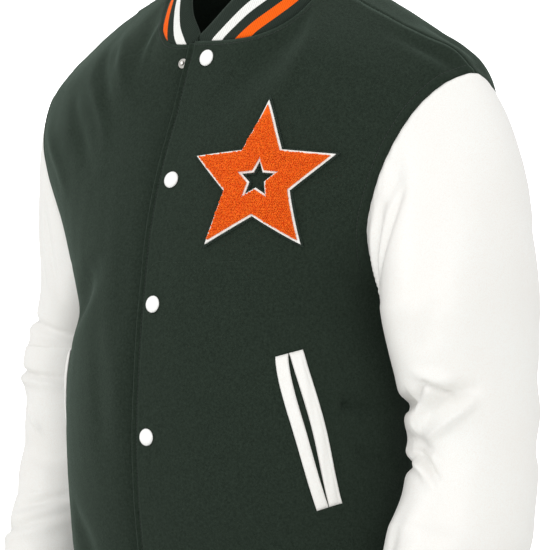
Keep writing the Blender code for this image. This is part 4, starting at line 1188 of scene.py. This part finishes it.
# Where a sleeve is gathered into its cuff and eased into its armhole: how high the ripples
# stand, how far they reach, and where they are at their full height
gathers = {"wrist": (0.0011, 0.04, 0.004), "armhole": (0.00025, 0.012, 0.0)}
for side in ("Left", "Right"):
    piece = pieces["sleeve" + side]
    points = piece["fineOuter"]
    height = foldHeights(points, piece["fineNormals"])
    height += waves(points, "leatherette")
    turn = 2 * math.pi * np.arange(points.shape[1]) / points.shape[1]
    ripples = {
        "wrist": np.sin(13 * turn + 1.3 * np.sin(2 * turn)) + 0.5 * np.sin(29 * turn + 1.0),
        "armhole": np.sin(41 * turn + 2 * np.sin(3 * turn)),
    }
    for seam, (high, reach, full) in gathers.items():
        away = distanceTo(points, seamLines[seam + side])
        height += high * ease(away, reach, full) * ripples[seam]
    height += seamRelief(points, ("armhole" + side, "wrist" + side), valley=0.0009, ridge=0.0002, stitch=None)
    settle(piece, height)

# Rib: the seam that each piece is sewn on by, and how deep its furrows are
ribSeams = {"collar": "neck", "hemBand": "hem", "cuffLeft": "wristLeft", "cuffRight": "wristRight"}
ribDepth = 0.0006
for name, seam in ribSeams.items():
    piece = pieces[name]
    points = piece["fineOuter"]
    middle = len(points) // 2
    along = piece["along"][middle]
    around = along[-1]
    if piece["closed"]:
        around += np.linalg.norm(points[middle, 0] - points[middle, -1])
    ribs = round(around / panels[name]["rib"])
    wave = 0.5 + 0.5 * np.cos(2 * math.pi * ribs * along / around)
    piece["raised"] = np.broadcast_to(wave**0.8, points.shape[:2])  # 1 on a rib, 0 in a furrow
    height = ribDepth * (piece["raised"] - 1)
    height += bells(distanceTo(points, seamLines[seam]), edgeBells["ribSeam"])
    rim = piece["down"] if name == "collar" else piece["down"][-1:] - piece["down"]
    height += bells(rim, edgeBells["ribRim"])
    height += waves(points, "rib")
    settle(piece, height)
    piece["cloth"] = np.stack([np.broadcast_to(along, points.shape[:2]), piece["down"], piece["raised"]], -1)
print("relief laid")

for name, panel in panels.items():
    piece = pieces[name]
    cloth = piece["cloth"] if "raised" in piece else None
    label = panel.get("name", name)
    addWall(label, piece["face"], piece["lining"], piece["closed"], panel["finish"], cloth)
    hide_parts(panel["node"])
print("sewn pieces made")


def weltGrid(panel, outward, further, rear):
    # One lip of a pocket: u down the slit and v across, its crown a rounded box that is highest
    # at the slit, draped on the panel. The right pocket is the left one mirrored.
    u = np.linspace(0, 1, 61)[:, None]
    v = np.linspace(0, 1, 15)[None]
    half = pocketForm["slit"] / 2 * np.sin(math.pi * u**0.7) + pocketForm["parted"]
    width = pocketForm["width"]
    wanted = pocketPoints(u, further, half + width * v if rear else -half - width * (1 - v), 0.0)
    if outward < 0:
        wanted = wanted[:, ::-1] * np.array([-1, 1, 1])
    points, facing = drape(wanted, panel)
    side = v if rear else 1 - v  # 0 at the slit
    crown = np.sqrt(np.clip(1 - (2 * v - 1) ** 4, 0, 1)) * np.sqrt(np.clip(1 - (2 * u - 1) ** 40, 0, 1))
    crown = crown * (1.0 - pocketForm["fall"] * side) + pocketForm["ripple"] * np.sin(17 * u + 9 * side)
    crown = crown - pocketForm["groove"] * hump(side - 0.80, 0.07)
    under, edge = pocketForm["under"], pocketForm["edge"]
    high = under + edge + (pocketForm["rise"] - edge) * np.clip(crown, 0, None)
    if outward < 0:
        high = high[:, ::-1]
    return points + high[..., None] * facing, points + under * facing


for side, outward in (("Left", 1), ("Right", -1)):
    for lip in ("front", "rear"):
        outer, inner = weltGrid(pieces["front" + side], outward, pocketForm["further"][side], lip == "rear")
        welt = addWall(f"welt{side}{lip.capitalize()}", outer, inner, False, "leatherette")
        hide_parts(f"welt_{side.lower()}_{lip}")

badgeForm = {
    "x": 0.0955,
    "z": -0.170,
    "size": 0.068,  # middle of the star to its tips
    "waist": 0.46,
    "opening": 0.30,
    "steps": 10,  # points along each straight edge
    "rim": 0.012,  # share of a layer's width over which its edge rounds off
    "crown": 0.9,  # how much higher the pile is in its middle
    "layers": {
        "badgeBase": {
            "node": "patch_base", "slot": "dark_felt", "finish": "darkFelt",
            "grow": 0.0080, "low": 0.0006, "high": 0.0020,
        },
        "badgeBorder": {
            "node": "patch_border", "slot": "white_felt", "finish": "whiteFelt",
            "grow": 0.0040, "low": 0.0021, "high": 0.0036,
        },
        "badgePile": {
            "node": "patch_pile", "slot": "chenille", "finish": "chenille",
            "grow": -0.0006, "low": 0.0037, "high": 0.0052,
        },
    },
}


def starLine(size):
    # Outline of a five-pointed star in even steps from corner to corner.
    steps = badgeForm["steps"]
    angle = math.pi / 2 + math.pi / 5 * np.arange(11)
    reach = np.where(np.arange(11) % 2 == 0, size, size * badgeForm["waist"])
    corner = np.stack([reach * np.cos(angle), reach * np.sin(angle)], -1)
    share = np.arange(steps)[:, None] / steps
    return (corner[:-1, None] * (1 - share) + corner[1:, None] * share).reshape(-1, 2)


def inStar(x, y, size):
    # How far inside a star's edge a point lies: the angle folds into a tenth of the star.
    away = np.hypot(x, y)
    fifth = 2 * math.pi / 5
    angle = np.abs((np.arctan2(y, x) - math.pi / 2 + fifth / 2) % fifth - fifth / 2)
    px, py = away * np.cos(angle), away * np.sin(angle)
    bx = size * badgeForm["waist"] * math.cos(fifth / 2) - size
    by = size * badgeForm["waist"] * math.sin(fifth / 2)
    return (bx * py - by * (px - size)) / math.hypot(bx, by)


def onBadge(x, y):
    # Points of the left front at lengths across and up from the badge's middle.
    spots = alongCloth(badgeForm["x"] + 0 * x, badgeForm["z"], x, y)
    return drape(bodyPoint(spots, "front"), pieces["frontLeft"])


for name, layer in badgeForm["layers"].items():
    rim = badgeForm["rim"]
    v = np.concatenate([[0.0, rim], np.linspace(0.06, 0.94, 9), [1 - rim, 1.0]])[:, None, None]
    tips = badgeForm["size"] + layer["grow"]
    inner = badgeForm["opening"] * badgeForm["size"] - layer["grow"]
    flat = (1 - v) * starLine(inner) + v * starLine(tips)
    points, facing = onBadge(flat[..., 0], flat[..., 1])
    rounded = np.clip(np.minimum(v, 1 - v) / rim, 0, 1) ** 0.5
    if name == "badgePile":
        rounded = rounded + badgeForm["crown"] * np.sqrt(np.clip(4 * v * (1 - v), 0, 1))
    thick = (layer["high"] - layer["low"]) * (0.6 + 0.4 * rounded)
    outer = points + (layer["low"] + thick) * facing
    badge = addWall(name, outer, points + layer["low"] * facing, True, layer["finish"])
    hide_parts(layer["node"])


def scatter(name, template, faces, spots, axes, sizes, finish):
    # Copies of one small form, each at its spot and turned by its three axes, as one mesh.
    points = spots[:, None] + sizes[:, None, None] * np.einsum("pk,nkc->npc", template, axes)
    count = len(template)
    shift = (np.arange(len(spots)) * count)[:, None, None]
    return addMesh(name, points.reshape(-1, 3), (faces[None] + shift).reshape(-1, faces.shape[1]), finish)


def latheForm(rows, sides):
    # A profile of radius and height turned round z, from the top down.
    angle = 2 * math.pi * np.arange(sides) / sides
    radius, height = (np.array([row[k] for row in rows]) for k in (0, 1))
    ring = np.stack([np.cos(angle), np.sin(angle), 0 * angle], -1)
    points = radius[:, None, None] * ring + height[:, None, None] * np.array([0, 0, 1])
    return points.reshape(-1, 3), gridFaces(len(rows), sides, True)


def axesOf(facing, seed):
    # Three axes for each direction, the first two turned by a seeded angle.
    rng = np.random.default_rng(seed)
    first = unit(np.cross(facing, np.array([0.3, 0.2, 0.9])))
    second = np.cross(facing, first)
    turn = rng.uniform(0, 2 * math.pi, len(facing))[:, None]
    cos, sin = np.cos(turn), np.sin(turn)
    return np.stack([first * cos + second * sin, second * cos - first * sin, facing], 1)


# Chenille: tufts in rows across the star, each leaning a little its own way
tuftForm = {
    "pitch": 0.0016,
    "size": 0.0012,
    "sizes": (0.85, 1.2),  # the least and the greatest, as shares of size
    "profile": ((0.0, 0.95), (0.62, 0.62), (0.68, -0.5), (0.0, -0.9)),
    "sides": 6,
    "astray": 0.18,  # share of the pitch
    "inset": 0.0004,  # the outermost stand this far inside the edges
    "crown": 0.0010,
    "shoulder": 0.004,  # the pile is at its full height this far inside the edges
    "uneven": 0.0003,
    "lean": 0.16,
}
rng = np.random.default_rng(11)
size, step, astray = badgeForm["size"], tuftForm["pitch"], tuftForm["astray"]
span = np.arange(-size, size, step)
x, y = np.meshgrid(span, span * math.sqrt(3) / 2, indexing="ij")
x = x + (np.arange(len(span)) % 2)[None] * step / 2
x, y = (a.ravel() + rng.uniform(-astray, astray, a.size) * step for a in (x, y))
inside = np.minimum(inStar(x, y, size), -inStar(x, y, size * badgeForm["opening"]))
kept = inside > tuftForm["inset"]
x, y, inside = x[kept], y[kept], inside[kept]
spots, facing = onBadge(x, y)
height = badgeForm["layers"]["badgePile"]["high"]
height = height + tuftForm["crown"] * np.sqrt(np.minimum(inside / tuftForm["shoulder"], 1))
height += rng.uniform(-tuftForm["uneven"], tuftForm["uneven"], len(x))
lean = unit(facing + rng.normal(0, tuftForm["lean"], facing.shape))
sizes = tuftForm["size"] * rng.uniform(*tuftForm["sizes"], len(x))
tuft, faces = latheForm(tuftForm["profile"], tuftForm["sides"])
spots = spots + height[:, None] * facing
tufts = scatter("badgeTufts", tuft, faces, spots, axesOf(lean, 12), sizes, "chenille")
print("badge laid:", len(x), "tufts")

# Lockstitch seen from above: short rounded bars of thread, each drawn into the cloth at both ends
stitchForm = {"pitch": 0.0031, "long": 0.0025, "thick": 0.00034, "sink": 0.00004, "sides": 6}


def seamPath(piece, seam, away, along, atEnd, first, last):
    # Where the distance from a seam first passes a length, walking in from one edge along the
    # grid's rows (1) or columns (0): straight between the two points of the grid on either side.
    grids = [piece["face"], piece["facing"], distanceTo(piece["fineOuter"], seamLines[seam])]
    if along == 0:
        grids = [np.swapaxes(grid, 0, 1) for grid in grids]
    if atEnd:
        grids = [grid[:, ::-1] for grid in grids]
    surface, facing, field = (grid[first:last] for grid in grids)
    k = np.clip((field > away).argmax(1), 1, None)
    row = np.arange(len(k))
    low, high = field[row, k - 1], field[row, k]
    u = np.clip((away - low) / np.maximum(high - low, 1e-9), 0, 1)[:, None]
    return surface[row, k - 1] * (1 - u) + surface[row, k] * u, unit(facing[row, k])


def sewAlong(name, *where):
    # A bar at each pitch of the path, its ends rounded by a fourth power.
    path, facing = seamPath(*where)
    length = lengthsAlong(path)
    at = np.arange(stitchForm["pitch"] / 2, length[-1], stitchForm["pitch"])
    spots, out = readAt(at, length, path), unit(readAt(at, length, facing))
    ahead = unit(readAt(at, length, np.gradient(path, axis=0)))
    sides = stitchForm["sides"]
    u = np.linspace(-1, 1, sides + 1)[:, None]
    angle = np.linspace(0, 2 * math.pi, sides, endpoint=False)[None]
    radius = np.sqrt(np.clip(1 - u**4, 0.02, 1)) * stitchForm["thick"]
    long = 0 * angle + u * stitchForm["long"] / 2
    bar = np.stack([long, radius * np.cos(angle), radius * np.sin(angle)], -1)
    faces = np.roll(gridFaces(sides + 1, sides, True)[:, ::-1], 1, axis=1)
    axes = np.stack([ahead, unit(np.cross(out, ahead)), out], 1)
    spots = spots + stitchForm["sink"] * out
    sizes = np.ones(len(at))
    made = scatter(name, bar.reshape(-1, 3), faces, spots, axes, sizes, "darkThread")


# The lines stop a few rows or columns short of the corners
necks, shoulders = bodyForm["neckColumns"], bodyForm["shoulderColumns"]
back, backRows, backColumns = pieces["back"], panels["back"]["rows"], panels["back"]["columns"]
for side, atEnd in (("Left", True), ("Right", False)):
    piece, seam, away = pieces["front" + side], "armhole" + side, stitchAway["armhole"]
    sewAlong(f"armholeStitch{side}", piece, seam, away, 1, atEnd, 1, sideFrom - 3)
    sewAlong(f"backArmholeStitch{side}", back, seam, away, 1, not atEnd, 1, int(backRows * armholeShare) - 3)
    columns = panels["front" + side]["columns"]
    stop = int(columns * necks / (necks + shoulders)) - 4
    first, last = (8, stop) if atEnd else (columns - stop, columns - 8)
    sewAlong(f"neckStitch{side}", piece, "neck", stitchAway["neck"], 0, False, first, last)
    sewAlong(f"hemStitch{side}", piece, "hem", stitchAway["hem"], 0, True, 3, columns - 3)
rows = (("backNeckStitch", "neck", False, shoulderShare), ("backHemStitch", "hem", True, 0.01))
for name, seam, atEnd, share in rows:
    first, last = int(backColumns * share) + 3, int(backColumns * (1 - share)) - 3
    sewAlong(name, back, seam, stitchAway[seam], 0, atEnd, first, last)
sewAlong("placketStitch", pieces["frontLeft"], "overEdge", stitchAway["placket"], 1, False, 2, -2)
print("stitching sewn")

# Snaps: the profiles are radius and height
snapForm = {
    "cap": (
        (0.0, 0.0043), (0.0020, 0.0042), (0.0038, 0.0038), (0.0053, 0.0032), (0.0064, 0.0025),
        (0.0072, 0.0017), (0.0076, 0.0010), (0.0076, 0.0004), (0.0072, 0.0), (0.0, 0.0),
    ),
    "stud": (
        (0.0, 0.0031), (0.0014, 0.0031), (0.0021, 0.0028), (0.0024, 0.0022), (0.0022, 0.0014),
        (0.0026, 0.0011), (0.0042, 0.0010), (0.0047, 0.0007), (0.0047, 0.0), (0.0, 0.0),
    ),
    "places": ((0.018, -0.0588), (0.003, -0.1684), (0.0044, -0.2789), (0.0046, -0.396), (0.004, -0.510)),
    "studPlace": (-0.0140, -0.0610),
    "onBand": (2, 1),  # row and column of the band's coarse grid
    "lift": 0.0003,
    "bandLift": 0.0005,
    "reach": 0.004,  # the cloth around is evened out over this length
}
cap, stud = latheForm(snapForm["cap"], 40), latheForm(snapForm["stud"], 32)


def addFitting(name, node, slot, form, piece, wanted, lift, finish):
    # One half of a snap, square to the cloth that it is set in.
    spot, facing = drape(wanted, piece, snapForm["reach"])
    fitting = scatter(name, *form, spot + lift * facing, axesOf(facing, 1), np.ones(1), finish)
    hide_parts(node)


def onFront(x, z):
    # One point of the front.
    return bodyPoint(bodyPlace(np.array([x]), np.array([z]), "front"), "front")


for number, place in enumerate(snapForm["places"], start=1):
    wanted = pieces["frontLeft"], onFront(*place), snapForm["lift"]
    addFitting(f"snapCap{number}", f"snap_{number}", "snap_enamel", cap, *wanted, "enamel")
band = pieces["hemBand"]
wanted = band, band["outer"][snapForm["onBand"]][None], snapForm["bandLift"]
addFitting("snapCap6", "snap_6", "snap_enamel", cap, *wanted, "enamel")
wanted = pieces["frontRight"], onFront(*snapForm["studPlace"]), snapForm["lift"]
addFitting("snapStud", "snap_stud", "snap_nickel", stud, *wanted, "nickel")

# The stage: the lights and the camera look at one point, and a white cloth hangs behind it
stageForm = {
    "aim": (0.0148, 0.0124, -0.253),
    "azimuth": 40.0,
    "distance": 3.0,
    "lens": 213.9,
    "sensor": 36.0,
    "white": "FFFFFF",  # of the sky, the lights and the cloth
    "sky": 0.89,
    "lights": {
        "key": {"place": (-0.9, -2.3, 1.2), "size": 1.1, "power": 11.5},
        "front": {"place": (1.2, -2.9, -0.1), "size": 1.4, "power": 9.0},
        "fill": {"place": (2.4, -1.7, 0.6), "size": 1.2, "power": 11.0},
        "top": {"place": (0.2, 0.6, 1.9), "size": 1.4, "power": 5.5},
    },
    "backdrop": {"half": 0.5, "low": -0.6, "high": 0.5, "away": 2.6},
    "floor": {"z": -0.69, "half": 1.4, "colour": "EFEFED"},
}


def hang(name, data, place, way):
    # An object at a place, turned so that it looks along a way.
    held = bpy.data.objects.new(name, data)
    held.location = place
    held.rotation_euler = way.to_track_quat("-Z", "Y").to_euler()
    bpy.context.scene.collection.objects.link(held)
    return held


def addLight(name, place, size, power):
    # A square soft light that faces the aim.
    light = bpy.data.lights.new(name, "AREA")
    light.shape = "SQUARE"
    light.size = size
    light.energy = power
    light.color = linear(stageForm["white"])[:3]
    hang(name, light, place, aim - Vector(place))


def addPlane(name, corners, finish, look):
    # One flat square of the stage.
    mesh = bpy.data.meshes.new(name)
    mesh.from_pydata([tuple(corner) for corner in corners], [], [(0, 1, 2, 3)])
    made, tree, surface = startMaterial(finish)
    connect(tree, surface, look)
    mesh.materials.append(made)
    plane = bpy.data.objects.new(name, mesh)
    bpy.context.scene.collection.objects.link(plane)


aim, white = Vector(stageForm["aim"]), linear(stageForm["white"])
turn = math.radians(stageForm["azimuth"])
back = Vector((math.sin(turn), -math.cos(turn), 0.0))
side = Vector((math.cos(turn), math.sin(turn), 0.0))
camera = bpy.data.cameras.new("camera")
camera.lens = stageForm["lens"]
camera.sensor_width = stageForm["sensor"]
bpy.context.scene.camera = hang("camera", camera, aim + stageForm["distance"] * back, -back)
for name, light in stageForm["lights"].items():
    addLight(name, **light)
world = bpy.data.worlds.new("studio")
bpy.context.scene.world = world
world.use_nodes = True
connect(world.node_tree, world.node_tree.nodes["Background"], {"Color": white, "Strength": stageForm["sky"]})
square = ((-1, -1), (1, -1), (1, 1), (-1, 1))
cloth, ground = stageForm["backdrop"], stageForm["floor"]
middle, heights = aim - cloth["away"] * back, {-1: cloth["low"], 1: cloth["high"]}
corners = [middle + a * cloth["half"] * side + Vector((0, 0, heights[b])) for a, b in square]
glow = {"Base Color": white, "Emission Color": white, "Emission Strength": 1.0}
addPlane("backdrop", corners, "white_backdrop", glow)
corners = [(a * ground["half"], b * ground["half"], ground["z"]) for a, b in square]
addPlane("floor", corners, "pale_floor", {"Base Color": linear(ground["colour"]), "Roughness": 0.8})
print("stage set")
